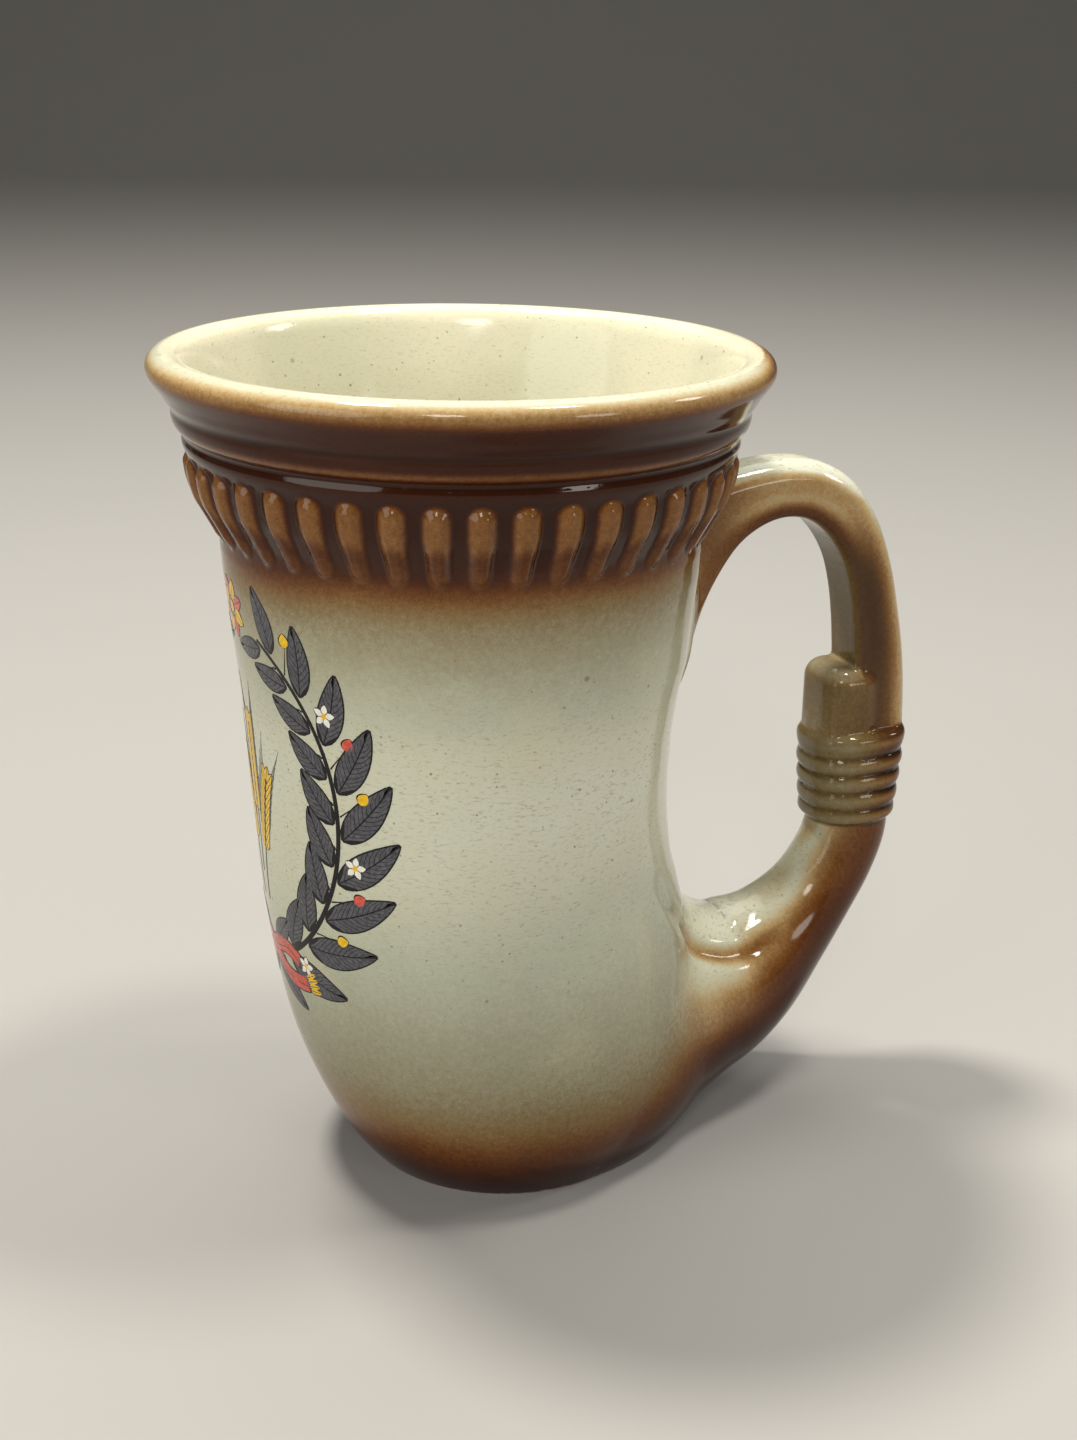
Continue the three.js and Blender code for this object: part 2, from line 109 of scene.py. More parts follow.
def polygon_distance(poly, A, B, band=6.0):
    """Signed distance to a closed polygon at the lattice points (A, B), negative inside."""
    p = np.stack([A.ravel(), B.ravel()], 1)
    a, b = poly, np.roll(poly, -1, axis=0)
    inside = np.zeros(len(p), bool)
    for (ax, ay), (bx, by) in zip(a, b):
        if ay == by:
            continue
        k = (ay > p[:, 1]) != (by > p[:, 1])
        if k.any():
            inside[k] ^= p[k, 0] < ax + (p[k, 1] - ay) * (bx - ax) / (by - ay)
    best = np.full(len(p), 1e9)
    step = 24
    for s in range(0, len(poly), step):
        aa, bb = a[s:s + step], b[s:s + step]
        lo, hi = np.minimum(aa, bb).min(0) - band, np.maximum(aa, bb).max(0) + band
        k = np.where((p[:, 0] > lo[0]) & (p[:, 0] < hi[0]) & (p[:, 1] > lo[1]) & (p[:, 1] < hi[1]))[0]
        if not len(k):
            continue
        q = p[k][:, None, :]
        e = (bb - aa)[None]
        t = np.clip(((q - aa[None]) * e).sum(-1) / np.maximum((e * e).sum(-1), 1e-12), 0, 1)
        d = np.linalg.norm(q - aa[None] - e * t[..., None], axis=-1).min(1)
        best[k] = np.minimum(best[k], d)
    best = np.minimum(best, band)
    return np.where(inside, -best, best).reshape(A.shape)


class Sheet:
    """A 2D field on a lattice, read with a cubic B-spline, which also rounds it a little as a glaze does."""

    def __init__(self, lo, hi, cell, fill):
        self.lo, self.cell = np.array(lo, float), cell
        n = np.ceil((np.array(hi) - self.lo) / cell).astype(int) + 1
        a = self.lo[0] + cell * np.arange(n[0])
        b = self.lo[1] + cell * np.arange(n[1])
        A, B = np.meshgrid(a, b, indexing="ij")
        self.v = fill(A, B)

    def __call__(self, a, b):
        fa, fb = (a - self.lo[0]) / self.cell, (b - self.lo[1]) / self.cell
        na, nb = self.v.shape
        fa, fb = np.clip(fa, 1, na - 2.001), np.clip(fb, 1, nb - 2.001)
        ia, ib = fa.astype(int), fb.astype(int)
        ua, ub = fa - ia, fb - ib

        def w(u):
            return ((1 - u) ** 3 / 6, (3 * u ** 3 - 6 * u ** 2 + 4) / 6, (-3 * u ** 3 + 3 * u ** 2 + 3 * u + 1) / 6, u ** 3 / 6)

        wa, wb = w(ua), w(ub)
        out = np.zeros_like(fa)
        for i in range(4):
            x = np.clip(ia + i - 1, 0, na - 1)
            for j in range(4):
                out += wa[i] * wb[j] * self.v[x, np.clip(ib + j - 1, 0, nb - 1)]
        return out


horn_balls = smooth_rows(HORN, 150)
tail_balls = smooth_rows(TAIL, 150)


def envelope_radius(z):
    """Radius of the straight part of the horn at height z."""
    best = np.zeros_like(z)
    dense = smooth_rows(HORN, 2400)
    for x, bz, r in dense[dense[:, 0] < 1e-6]:
        h = r * r - (z - bz) ** 2
        best = np.maximum(best, np.sqrt(np.maximum(h, 0)))
    return best


_zs = np.linspace(59.0, 112.0, 60)
_wall = np.stack([envelope_radius(_zs), _zs], 1)
_neck = even(smooth_rows(NECK, 900), 0.25)
_inner = even(smooth_rows(INNER, 900), 0.3)
# the wall of the cup's upper part as one closed outline
_cut = _inner[_inner[:, 1] > 50.0]
UPPER = np.concatenate([[[36.9, 50.0]], _wall, _neck, _cut, [[33.0, 50.0]]])
upper_field = Sheet((30.0, 52.0), (58.0, 155.0), 0.2, lambda A, B: polygon_distance(UPPER, A, B))
HOLLOW = np.concatenate([_inner[_inner[:, 1] < 148.0], [[-8.0, 8.0], [-8.0, 148.0]]])
hollow_field = Sheet((-1.0, 4.0), (52.0, 150.0), 0.35, lambda A, B: polygon_distance(HOLLOW, A, B))

_s = smooth_rows(STRAP, 420)
_in, _out = even(_s[:, :2], 0.3), even(_s[:, 2:], 0.3)
strap_poly = np.concatenate([_in, _out[::-1]])
strap_field = Sheet((24.0, 50.0), (96.0, 134.0), 0.25, lambda A, B: polygon_distance(strap_poly, A, B))


def line_distance(line, A, B, far=12.0):
    p = np.stack([A.ravel(), B.ravel()], 1)
    best = np.full(len(p), far)
    for s in range(0, len(line) - 1, 16):
        aa, bb = line[s:s + 16], line[s + 1:s + 17]
        aa = aa[:len(bb)]
        lo, hi = np.minimum(aa, bb).min(0) - far, np.maximum(aa, bb).max(0) + far
        k = np.where((p[:, 0] > lo[0]) & (p[:, 0] < hi[0]) & (p[:, 1] > lo[1]) & (p[:, 1] < hi[1]))[0]
        q = p[k][:, None, :]
        e = (bb - aa)[None]
        t = np.clip(((q - aa[None]) * e).sum(-1) / np.maximum((e * e).sum(-1), 1e-12), 0, 1)
        best[k] = np.minimum(best[k], np.linalg.norm(q - aa[None] - e * t[..., None], axis=-1).min(1))
    return best.reshape(A.shape)


strap_in = Sheet((24.0, 50.0), (96.0, 134.0), 0.5, lambda A, B: line_distance(_in, A, B))
strap_out = Sheet((24.0, 50.0), (96.0, 134.0), 0.5, lambda A, B: line_distance(_out, A, B))


def ball_distance(balls, x, y, z, index=False):
    """Distance to the skin round a chain of balls, and the direction away from its middle."""
    n = len(x)
    which = np.empty(n, int)
    d = np.empty(n)
    g = np.empty((n, 3))
    cx, cz, cr = balls.T
    m = len(balls)
    for s in range(0, n, 60000):
        X, Y, Z = x[s:s + 60000], y[s:s + 60000], z[s:s + 60000]
        q = (X[:, None] - cx) ** 2 + (Y ** 2)[:, None] + (Z[:, None] - cz) ** 2
        i = np.clip(np.argmin(np.sqrt(q) - cr, axis=1), 1, m - 2)

        def at(j):
            return np.sqrt((X - cx[j]) ** 2 + Y ** 2 + (Z - cz[j]) ** 2) - cr[j]

        which[s:s + 60000] = i
        d0, d1, d2 = at(i - 1), at(i), at(i + 1)
        den = d0 - 2 * d1 + d2
        off = np.clip(0.5 * (d0 - d2) / np.where(np.abs(den) < 1e-12, 1e-12, den), -1, 1)
        d[s:s + 60000] = d1 + 0.5 * (d2 - d0) * off + 0.5 * den * off * off
        mx = cx[i] + 0.5 * (cx[i + 1] - cx[i - 1]) * off
        mz = cz[i] + 0.5 * (cz[i + 1] - cz[i - 1]) * off
        v = np.stack([X - mx, Y, Z - mz], 1)
        g[s:s + 60000] = v / np.maximum(np.linalg.norm(v, axis=1), 1e-9)[:, None]
    return (d, g, which) if index else (d, g)


def smin(a, b, k):
    h = np.maximum(k - np.abs(a - b), 0) / k
    return np.minimum(a, b) - h * h * k / 4


def smax(a, b, k):
    return -smin(-a, -b, k)


def lobe_recess(x, y, r, z):
    """How far the collar's surface is pulled in between its raised lobes."""
    out = np.zeros_like(z)
    k = (z > 117.5) & (z < 138.0) & (r > 38)
    if not k.any():
        return out
    zz = z[k]
    th = np.arctan2(y[k], x[k]) - LOBE_TURN
    pitch = 2 * math.pi / LOBES
    lane = th / pitch - 0.5
    cell = lane - np.round(lane)
    idx = np.round(lane)
    wob = np.sin(idx * 12.9898) * 43758.5453
    wob = wob - np.floor(wob)
    side = cell * pitch * 46.5
    # outline of a lobe: a drop, broad and round at the top, narrower below
    top, low = 132.55 + 0.35 * (wob - 0.5), 122.6 - 0.5 * (wob - 0.5)
    t = np.clip((zz - low) / (top - low), 0, 1)
    half = 2.1 + 0.4 * smoothstep(0.3, 0.75, t)
    dz = np.where(zz > top, zz - top, np.where(zz < low, (low - zz) * 0.85, 0))
    q = np.hypot(side, dz) / half
    low = smoothstep(0.22, 1.18, q)
    depth = smoothstep(137.0, 133.0, zz) * smoothstep(118.2, 123.2, zz) * LOBE_RELIEF
    inner = np.interp(zz, [112.0, 122.0, 131.0, 138.5], [38.2, 39.8, 41.7, 43.6])
    out[k] = depth * low * smoothstep(0.4, 2.0, r[k] - inner)
    return out


def hollow_shift(z):
    return np.where(z < 58, 9.0 * (np.clip(58 - z, 0, 58) / 58) ** 1.15, 0.0)


def binding_field(x, y, z):
    h = z - BIND_LOW + 0.035 * y - 0.03 * (x - 80)
    t = h / (BIND_HIGH - BIND_LOW)
    low, high, half = 72.9 - 1.0 * t, 88.5 + 1.1 * t, 7.9 - 0.55 * t
    grooves = np.array([-0.9, 3.1, 6.7, 10.3, 13.8, 19.6])
    lift = np.array([1.0, 1.15, 1.25, 1.3, 1.25])
    i = np.clip(np.searchsorted(grooves, h) - 1, 0, 4)
    u = np.clip((h - grooves[i]) / (grooves[i + 1] - grooves[i]) * 2 - 1, -1, 1)
    out = 0.92 + (lift[i] - 0.68) * (1 - u * u) ** 0.9
    cx, hx, hy = (low + high) / 2, (high - low) / 2 + out, half + out
    e = 2.3 + 0.3 * t
    n = (np.abs((x - cx) / hx) ** e + np.abs(y / hy) ** e) ** (1 / e)
    flat = np.hypot(x - cx, y)
    side = flat * (1 - 1 / np.maximum(n, 1e-3))
    ends = np.abs(h - 9.2) - 9.2
    return smax(side, ends, 1.6)


def tip_block(x, y, z):
    a, b = np.abs(x - 77.7) - 1.4, np.abs(y) - 2.7
    plan = np.hypot(np.maximum(a, 0), np.maximum(b, 0)) + np.minimum(np.maximum(a, b), 0) - 4.5
    a, b = plan + 3.6, z - 87.4 + 3.6
    top = np.hypot(np.maximum(a, 0), np.maximum(b, 0)) + np.minimum(np.maximum(a, b), 0) - 3.6
    return np.maximum(top, 68.0 - z)


def strap_parts(x, y, z):
    d2 = strap_field(x, z)
    di, do = strap_in(x, z), strap_out(x, z)
    t = di / np.maximum(di + do, 1e-6)
    rr = 1.7 + 2.4 * smoothstep(0.25, 0.9, t)
    half = STRAP_HALF + 0.25 * (1 - (2 * t - 1) ** 2) - 0.2
    # the foot spreads out on the cup's wall
    half = half + 4.0 * smoothstep(117, 104, z) * smoothstep(82, 97, z) * np.exp(-np.maximum(x - 39.6 - 0.08 * (z - 95), 0) / 1.4)
    dy = np.abs(y) - half
    a, b = d2 + rr, dy + rr
    f = np.hypot(np.maximum(a, 0), np.maximum(b, 0)) + np.minimum(np.maximum(a, b), 0) - rr
    return f, t


def root_swell(x, r, z):
    w = smoothstep(52, 64, z)
    t = np.clip((x / np.maximum(r, 1.0) - 0.6 + 0.1 * w) / (0.37 + 0.08 * w), 0, 1)
    return t * t * (3 - 2 * t) * np.interp(z, [28.0, 34.0, 40.0, 45.0, 50.0, 55.0, 59.0, 63.0, 66.5, 70.0, 76.0, 85.0, 92.0, 98.0, 104.0],
                                           [0.0, 0.6, 2.0, 2.9, 3.05, 2.65, 1.95, 1.1, 0.3, -0.3, -0.85, -1.0, -0.6, 0.1, 0.0])


# shallow valley where the tail's round upper part comes out of the bowl's side: x, |y|, z, depth
VALLEY = np.array([
    (28.8, 25.6, 61.2, 0.0), (30.0, 25.0, 56.7, 0.3), (32.2, 23.0, 51.9, 0.35), (35.5, 18.6, 47.2, 0.8), (38.7, 14.8, 43.4, 1.3),
    (41.1, 14.0, 40.5, 1.7), (44.6, 14.4, 38.1, 1.8), (49.8, 13.9, 36.0, 1.7), (53.5, 12.6, 35.2, 1.4), (56.3, 11.5, 35.0, 1.0),
    (59.9, 10.3, 36.0, 0.6), (63.5, 9.4, 37.2, 0.0)])
valley_line = None


def valley(x, y, z):
    """Distance to the valley's line on either flank, and its depth there."""
    P = np.stack([x, np.abs(y), z], 1)
    d, depth = np.full(len(P), 1e9), np.zeros(len(P))
    for a, b in zip(valley_line[:-1], valley_line[1:]):
        e = b[:3] - a[:3]
        t = np.clip(((P - a[:3]) @ e) / (e @ e), 0, 1)
        q = np.linalg.norm(P - a[:3] - t[:, None] * e, axis=1)
        k = q < d
        d[k] = q[k]
        depth[k] = (a[3] + (b[3] - a[3]) * t)[k]
    return d, depth


def field(x, y, z, parts=False):
    r = np.hypot(x, y)
    low = z < 82
    up = z > 58
    cup = np.zeros_like(x)
    tail = np.full_like(x, 50.0)
    g_cup = np.zeros((len(x), 3))
    if up.any():
        rr = r[up] + lobe_recess(x[up], y[up], r[up], z[up]) - root_swell(x[up], r[up], z[up]) * smoothstep(35.6, 36.9, r[up])
        cup[up] = upper_field(rr, z[up])
        # deep inside or far outside the sheet the distance is cut off, so only its sign counts there
    if low.any():
        f, g = ball_distance(horn_balls, x[low], y[low], z[low])
        c = hollow_shift(z[low])
        hol = hollow_field(np.hypot(x[low] - c, y[low]), z[low])
        f = f - root_swell(x[low], r[low], z[low])
        solid = np.maximum(f, -hol)
        w = smoothstep(61, 78, z[low])
        cup[low] = np.where(up[low], solid * (1 - w) + cup[low] * w, solid)
        g_cup[low] = g
    near_tail = (x > 5) & (z < 96)
    if near_tail.any():
        tf, tg = ball_distance(tail_balls, x[near_tail], y[near_tail], z[near_tail])
        c = hollow_shift(z[near_tail])
        hol = hollow_field(np.hypot(x[near_tail] - c, y[near_tail]), z[near_tail])
        tf = np.maximum(tf, np.where(z[near_tail] < 60, -hol, -99))
        kt = (z[near_tail] > 66) & (x[near_tail] > 66)
        tf[kt] = smin(tf[kt], tip_block(x[near_tail][kt], y[near_tail][kt], z[near_tail][kt]), 0.8)
        tail[near_tail] = tf
        k = near_tail & low
        kk = low[near_tail]
        dot = (g_cup[k] * tg[kk]).sum(1)
        crown = smoothstep(0.72, 0.95, tg[kk][:, 2]) * smoothstep(26, 38, x[k])
        fil = (FILLET * np.clip(1 - dot, 0, 1) * (1 + 1.1 * crown) + 1.2 * smoothstep(24, 36, x[k])) * smoothstep(66, 57, z[k]) + 0.05
    total = cup.copy()
    if near_tail.any():
        total[k] = smin(cup[k], tail[k], fil)
        rest = near_tail & ~low
        total[rest] = np.minimum(cup[rest], tail[rest])
    # valley in the flanks of the tail
    kv = (x > 24) & (x < 72) & (z > 24) & (z < 66) & (np.abs(total) < 3)
    if valley_line is not None and kv.any():
        d, depth = valley(x[kv], y[kv], z[kv])
        total[kv] += depth * np.exp(-(d / 1.7) ** 2)
    strap = np.full_like(x, 30.0)
    share = np.zeros_like(x)
    ks = (x > 26) & (z > 52) & (z < 132) & (np.abs(y) < 18)
    if ks.any():
        strap[ks], share[ks] = strap_parts(x[ks], y[ks], z[ks])
        # the strap never reaches through the cup's wall into its hollow
        inner = hollow_field(r[ks], z[ks])
        strap[ks] = np.maximum(strap[ks], (1.5 - inner) * 6.0)
        kk2 = 2.6 - 1.7 * smoothstep(60, 72, x[ks]) + 3.5 * smoothstep(114, 104, z[ks]) * smoothstep(80, 95, z[ks]) * smoothstep(54, 46, x[ks])
        total[ks] = smin(total[ks], strap[ks], kk2)
    kb = (x > 62) & (z > 50) & (z < 80)
    if kb.any():
        total[kb] = smin(total[kb], binding_field(x[kb], y[kb], z[kb]), 0.7)
    total = smax(total, -z, 0.5)
    if parts:
        return total, cup, tail, strap, share
    return total


# ---------------------------------------------------------------- skin of the field
def z_planes(step):
    """Heights of the lattice's layers: closer together at the collar, the lip and the binding."""
    zs, z = [-2.0], -2.0
    while z < 154.0:
        t = np.interp(z, [0, 8, 50, 54, 76, 80, 114, 118, 135, 136.6, 143.5, 145, 154],
                      [0.9, 1.35, 1.35, 0.85, 0.85, 1.35, 1.35, 0.9, 0.9, 0.6, 0.6, 0.8, 0.8])
        z += t * step
        zs.append(z)
    while len(zs) % 4 != 1:
        zs.append(zs[-1] + step)
    return np.array(zs)


def draw_skin(step):
    """Surface nets: one point in each cell that the skin crosses, and a face across each crossed edge."""
    f = 4
    ax = [-55.5 + step * np.arange(math.ceil(148.0 / step / f) * f + 1), -55.5 + step * np.arange(math.ceil(111.0 / step / f) * f + 1), z_planes(step)]
    X, Y, Z = np.meshgrid(*[a[::f] for a in ax], indexing="ij")
    nc = np.array(X.shape)
    Fc = np.concatenate([field(a.ravel(), b.ravel(), c.ravel())
                         for a, b, c in zip(np.array_split(X, 4), np.array_split(Y, 4), np.array_split(Z, 4))]).reshape(X.shape)
    near = np.abs(Fc) < step * f * 1.35 + 1.2
    block = np.zeros(nc - 1, bool)
    for i in (0, 1):
        for j in (0, 1):
            for k in (0, 1):
                sl = (slice(i, nc[0] - 1 + i), slice(j, nc[1] - 1 + j), slice(k, nc[2] - 1 + k))
                block |= near[sl]
                block |= (Fc[sl] < 0) != (Fc[:-1, :-1, :-1] < 0)
    n = (nc - 1) * f + 1
    fine = np.repeat(np.repeat(np.repeat(block, f, 0), f, 1), f, 2)
    mask = np.zeros(n, bool)
    for i in (0, 1):
        for j in (0, 1):
            for k in (0, 1):
                mask[i:i + n[0] - 1, j:j + n[1] - 1, k:k + n[2] - 1] |= fine
    F = np.repeat(np.repeat(np.repeat(Fc, f, 0), f, 1), f, 2)[:n[0], :n[1], :n[2]].astype(np.float32)
    idx = np.argwhere(mask)
    vals = np.empty(len(idx), np.float32)
    for s in range(0, len(idx), 400000):
        q = idx[s:s + 400000]
        vals[s:s + 400000] = field(ax[0][q[:, 0]], ax[1][q[:, 1]], ax[2][q[:, 2]])
    F[mask] = vals
    S = F < 0
    cells = n - 1
    strides = np.array([cells[1] * cells[2], cells[2], 1])
    total_cells = int(np.prod(cells))
    pos_sum = [np.zeros(total_cells, np.float32) for _ in range(3)]
    cnt = np.zeros(total_cells, np.int16)
    quads = []
    for a in range(3):
        sl0 = [slice(None)] * 3
        sl1 = [slice(None)] * 3
        sl0[a], sl1[a] = slice(0, n[a] - 1), slice(1, n[a])
        sl0, sl1 = tuple(sl0), tuple(sl1)
        cross = (S[sl0] != S[sl1]) & mask[sl0] & mask[sl1]
        e = np.argwhere(cross)
        f0, f1 = F[sl0][cross], F[sl1][cross]
        p = e.astype(float)
        p[:, a] += f0 / (f0 - f1)
        b, c = (a + 1) % 3, (a + 2) % 3
        ok = (e[:, b] > 0) & (e[:, b] < n[b] - 1) & (e[:, c] > 0) & (e[:, c] < n[c] - 1)
        e, p, inner = e[ok], p[ok], f0[ok] < 0
        ring = []
        for db, dc in ((-1, -1), (0, -1), (0, 0), (-1, 0)):
            q = e.copy()
            q[:, b] += db
            q[:, c] += dc
            lin = q @ strides
            ring.append(lin)
            for d in range(3):
                pos_sum[d] += np.bincount(lin, weights=p[:, d], minlength=total_cells).astype(np.float32)
            cnt += np.bincount(lin, minlength=total_cells).astype(np.int16)
        ring = np.stack(ring, 1)
        ring[~inner] = ring[~inner][:, ::-1]
        quads.append(ring)
    quads = np.concatenate(quads)
    used = np.where(cnt > 0)[0]
    index = np.full(total_cells, -1, np.int32)
    index[used] = np.arange(len(used))
    lattice = [pos_sum[d][used] / cnt[used] for d in range(3)]
    verts = np.stack([np.interp(lattice[d], np.arange(n[d]), ax[d]) for d in range(3)], 1)
    return verts, index[quads]


def thin_out(V, Q, faces):
    """Collapses the closest points on smooth ground until about this many triangles are left."""
    ratio = faces / (2 * len(Q))
    me = bpy.data.meshes.new("draft")
    me.from_pydata(V.tolist(), [], Q.tolist())
    ob = bpy.data.objects.new("draft", me)
    bpy.context.scene.collection.objects.link(ob)
    mod = ob.modifiers.new("thin", "DECIMATE")
    mod.ratio = min(1.0, ratio)
    mod.use_collapse_triangulate = True
    out = ob.evaluated_get(bpy.context.evaluated_depsgraph_get()).to_mesh()
    v = np.empty(len(out.vertices) * 3, np.float32)
    out.vertices.foreach_get("co", v)
    out.calc_loop_triangles()
    t = np.empty(len(out.loop_triangles) * 3, np.int32)
    out.loop_triangles.foreach_get("vertices", t)
    bpy.data.objects.remove(ob)
    bpy.data.meshes.remove(me)
    return v.reshape(-1, 3).astype(float), t.reshape(-1, 3)


def gradient(P, h=0.04):
    """Slope of the field at the points, from four samples each."""
    k = np.array([(1, -1, -1), (-1, -1, 1), (-1, 1, -1), (1, 1, 1)], float)
    g = np.zeros_like(P)
    for d in k:
        v = field(P[:, 0] + h * d[0], P[:, 1] + h * d[1], P[:, 2] + h * d[2])
        g += v[:, None] * d
    return g / (4 * h)


def settle(V, rounds=3):
    for _ in range(rounds):
        g = gradient(V)
        f = field(V[:, 0], V[:, 1], V[:, 2])
        gg = (g * g).sum(1)
        move = np.clip(f / np.maximum(gg, 0.25), -0.5, 0.5)
        V = V - move[:, None] * g
    g = gradient(V)
    return V, g / np.maximum(np.linalg.norm(g, axis=1), 1e-9)[:, None]


# ---------------------------------------------------------------- where the glazes were sprayed, with painted shade and highlights mixed in
def knots(x, table):
    xs, ys = zip(*table)
    return np.interp(x, xs, ys)


# brown on the tail: for five places along it, from its underside (-1) to its inner, upper side (1); the pale dip near
# the inner side midway along is partly a painted highlight, the darkest underside values partly painted shade
TAIL_SIDE = [-1.0, -0.5, -0.2, 0.0, 0.2, 0.4, 0.6, 0.8, 0.9, 1.0]
TAIL_ALONG = [0.0, 0.24, 0.357, 0.5, 0.64, 0.8, 1.0]
TAIL_BROWN = np.array([
    [0.97, 0.94, 0.83, 0.68, 0.45, 0.22, 0.07, 0.01, 0.0, 0.0],
    [0.97, 0.94, 0.83, 0.68, 0.45, 0.22, 0.07, 0.01, 0.0, 0.0],
    [0.92, 0.88, 0.84, 0.79, 0.69, 0.54, 0.33, 0.09, 0.03, 0.03],
    [0.83, 0.81, 0.78, 0.76, 0.71, 0.62, 0.45, 0.17, 0.06, 0.20],
    [0.73, 0.72, 0.70, 0.67, 0.63, 0.57, 0.46, 0.26, 0.11, 0.34],
    [0.70, 0.70, 0.69, 0.66, 0.61, 0.53, 0.43, 0.33, 0.30, 0.45],
    [0.60, 0.61, 0.61, 0.60, 0.59, 0.57, 0.54, 0.51, 0.50, 0.48]])


def glaze_maps(V, N):
    """For each point of the skin: how much brown was sprayed there, with painted shade and highlights added in, how
    olive it fired, partly as painted shade, and whether it is outside or bare.
    """
    x, y, z = V.T
    r = np.hypot(x, y)
    th = np.arctan2(y, x)
    total, cup, tail, strap, share = field(x, y, z, parts=True)
    # slow drift of the spray's edge round the cup
    drift = 0.9 * np.sin(th * 2 + 0.6) + 0.6 * np.sin(th * 3 - 1.1) + 0.35 * np.sin(th * 7 + 2.0)
    rise = knots(x, [(10, 0), (25, 1.0), (32, 3.5), (45, 7.5)])
    # darker towards the bottom: brown sprayed round the foot, deepened as painted shade where the bowl turns under
    foot = knots(z - rise + drift * 0.8, [(0, 0.98), (2.4, 0.96), (5.5, 0.88), (8.3, 0.78), (12.8, 0.66), (16.8, 0.535), (20.3, 0.46), (23.6, 0.40), (26.8, 0.35), (32, 0.295), (38, 0.24), (46, 0.165), (56, 0.09), (68, 0.035), (80, 0.0)])
    head = knots(z + drift, [(83, 0.0), (91, 0.035), (97, 0.095), (102, 0.165), (106.5, 0.235), (110.5, 0.31), (114, 0.40), (117, 0.52), (119, 0.64), (121.5, 0.78), (125, 0.86), (130, 0.9), (139, 0.9), (144, 0.9)])
    # near the lip's end on the handle side the brown was carried up over the crest
    over = np.exp(-((np.arctan2(np.sin(th + 0.36), np.cos(th + 0.36))) / 0.24) ** 2)
    lip = knots(z - 0.9 * over * smoothstep(151.8, 149.5, z), [(144.0, 0.9), (146.6, 0.87), (147.4, 0.80), (148.1, 0.64), (148.8, 0.48), (149.6, 0.41), (150.3, 0.335), (150.8, 0.24), (151.2, 0.12), (151.6, 0.04)])
    body = np.where(z > 144, lip, np.where(z > 81, head, foot))
    body = np.where((z > 149), body + 0.35 * over * (r > 49), body)
    # the tail: sprayed from below and outside, so its upper and inner side stays pale near the bowl
    d, g, idx = ball_distance(tail_balls, x, y, z, index=True)
    tan = np.gradient(tail_balls[:, :2], axis=0)
    tan /= np.linalg.norm(tan, axis=1)[:, None]
    side = -g[:, 0] * tan[idx, 1] + g[:, 2] * tan[idx, 0]
    along = np.clip(idx / (len(tail_balls) - 1), 0, 1)
    sway = 0.05 * np.sin(x * 0.31 + 1.0) + 0.04 * np.sin(z * 0.5 + y * 0.2)
    ia = np.clip(np.searchsorted(TAIL_ALONG, along) - 1, 0, len(TAIL_ALONG) - 2)
    wa = (along - np.take(TAIL_ALONG, ia)) / (np.take(TAIL_ALONG, ia + 1) - np.take(TAIL_ALONG, ia))
    rows = np.stack([np.interp(side + sway, TAIL_SIDE, row) for row in TAIL_BROWN])
    n = np.arange(len(x))
    brown = rows[ia, n] * (1 - wa) + rows[ia + 1, n] * wa
    on_tail = smoothstep(7.5, -2.0, tail - np.minimum(cup, 40)) * (x > 8) * (z < 92)
    on_tail = np.maximum(on_tail, smoothstep(58, 68, x) * (z < 92))
    w_tail = smoothstep(30, 45, x) * on_tail
    spray_and_painted_light = np.where(z < 92, body * (1 - w_tail) + brown * w_tail, body)
    # strap: pale on its outer face, tan and brown down its sides, olive inside; the dark strip by the inner edge of
    # each side is partly painted shade and painted reflection, the tan band towards the outer edge partly a painted
    # highlight
    flank = smoothstep(0.35, 0.85, np.abs(N[:, 1]))
    leg = smoothstep(121, 105, z) * (x > 60)
    arch_s = knots(share, [(0.0, 0.70), (0.08, 0.74), (0.18, 0.70), (0.27, 0.45), (0.34, 0.29), (0.42, 0.25), (0.52, 0.31), (0.66, 0.31), (0.8, 0.27), (0.9, 0.13), (1.0, 0.0)])
    leg_s = knots(share, [(0.0, 0.62), (0.12, 0.76), (0.25, 0.82), (0.40, 0.82), (0.54, 0.72), (0.66, 0.52), (0.76, 0.40), (0.86, 0.34), (1.0, 0.28)])
    side_s = arch_s * (1 - leg) + leg_s * leg
    outer_s = 0.0 + 0.24 * leg + 0.10 * smoothstep(3.6, 5.8, np.abs(y))
    inner_s = 0.54
    low_leg = smoothstep(92, 78, z) * (x > 70)
    side_s = side_s * (1 - 0.12 * low_leg)
    face = np.where(share > 0.5, outer_s, inner_s)
    on = flank + (1 - flank) * 0.0
    s_strap = side_s * on + face * (1 - on)
    # where the strap grows out of the cup it takes the cup's own spray
    root = smoothstep(58, 44, x)
    s_root = 0.52 - 0.30 * smoothstep(106, 82, z) + 0.06 * (share < 0.25)
    s_strap = s_strap * (1 - root) + root * np.where(share > 0.82, s_strap, np.maximum(0.0, s_root))
    on_strap = smoothstep(1.4, -0.3, strap - np.minimum(cup, tail)) * (x > 30)
    spray_and_painted_light = spray_and_painted_light * (1 - on_strap) + s_strap * on_strap
    # binding: olive brown, browner on the strap's side
    bind = binding_field(x, y, z)
    on_bind = smoothstep(0.9, 0.1, bind) * (x > 62) * (z > 52) * (z < 78)
    outward = smoothstep(75, 88, x)
    spray_and_painted_light = spray_and_painted_light * (1 - on_bind) + (0.50 + 0.30 * outward) * on_bind
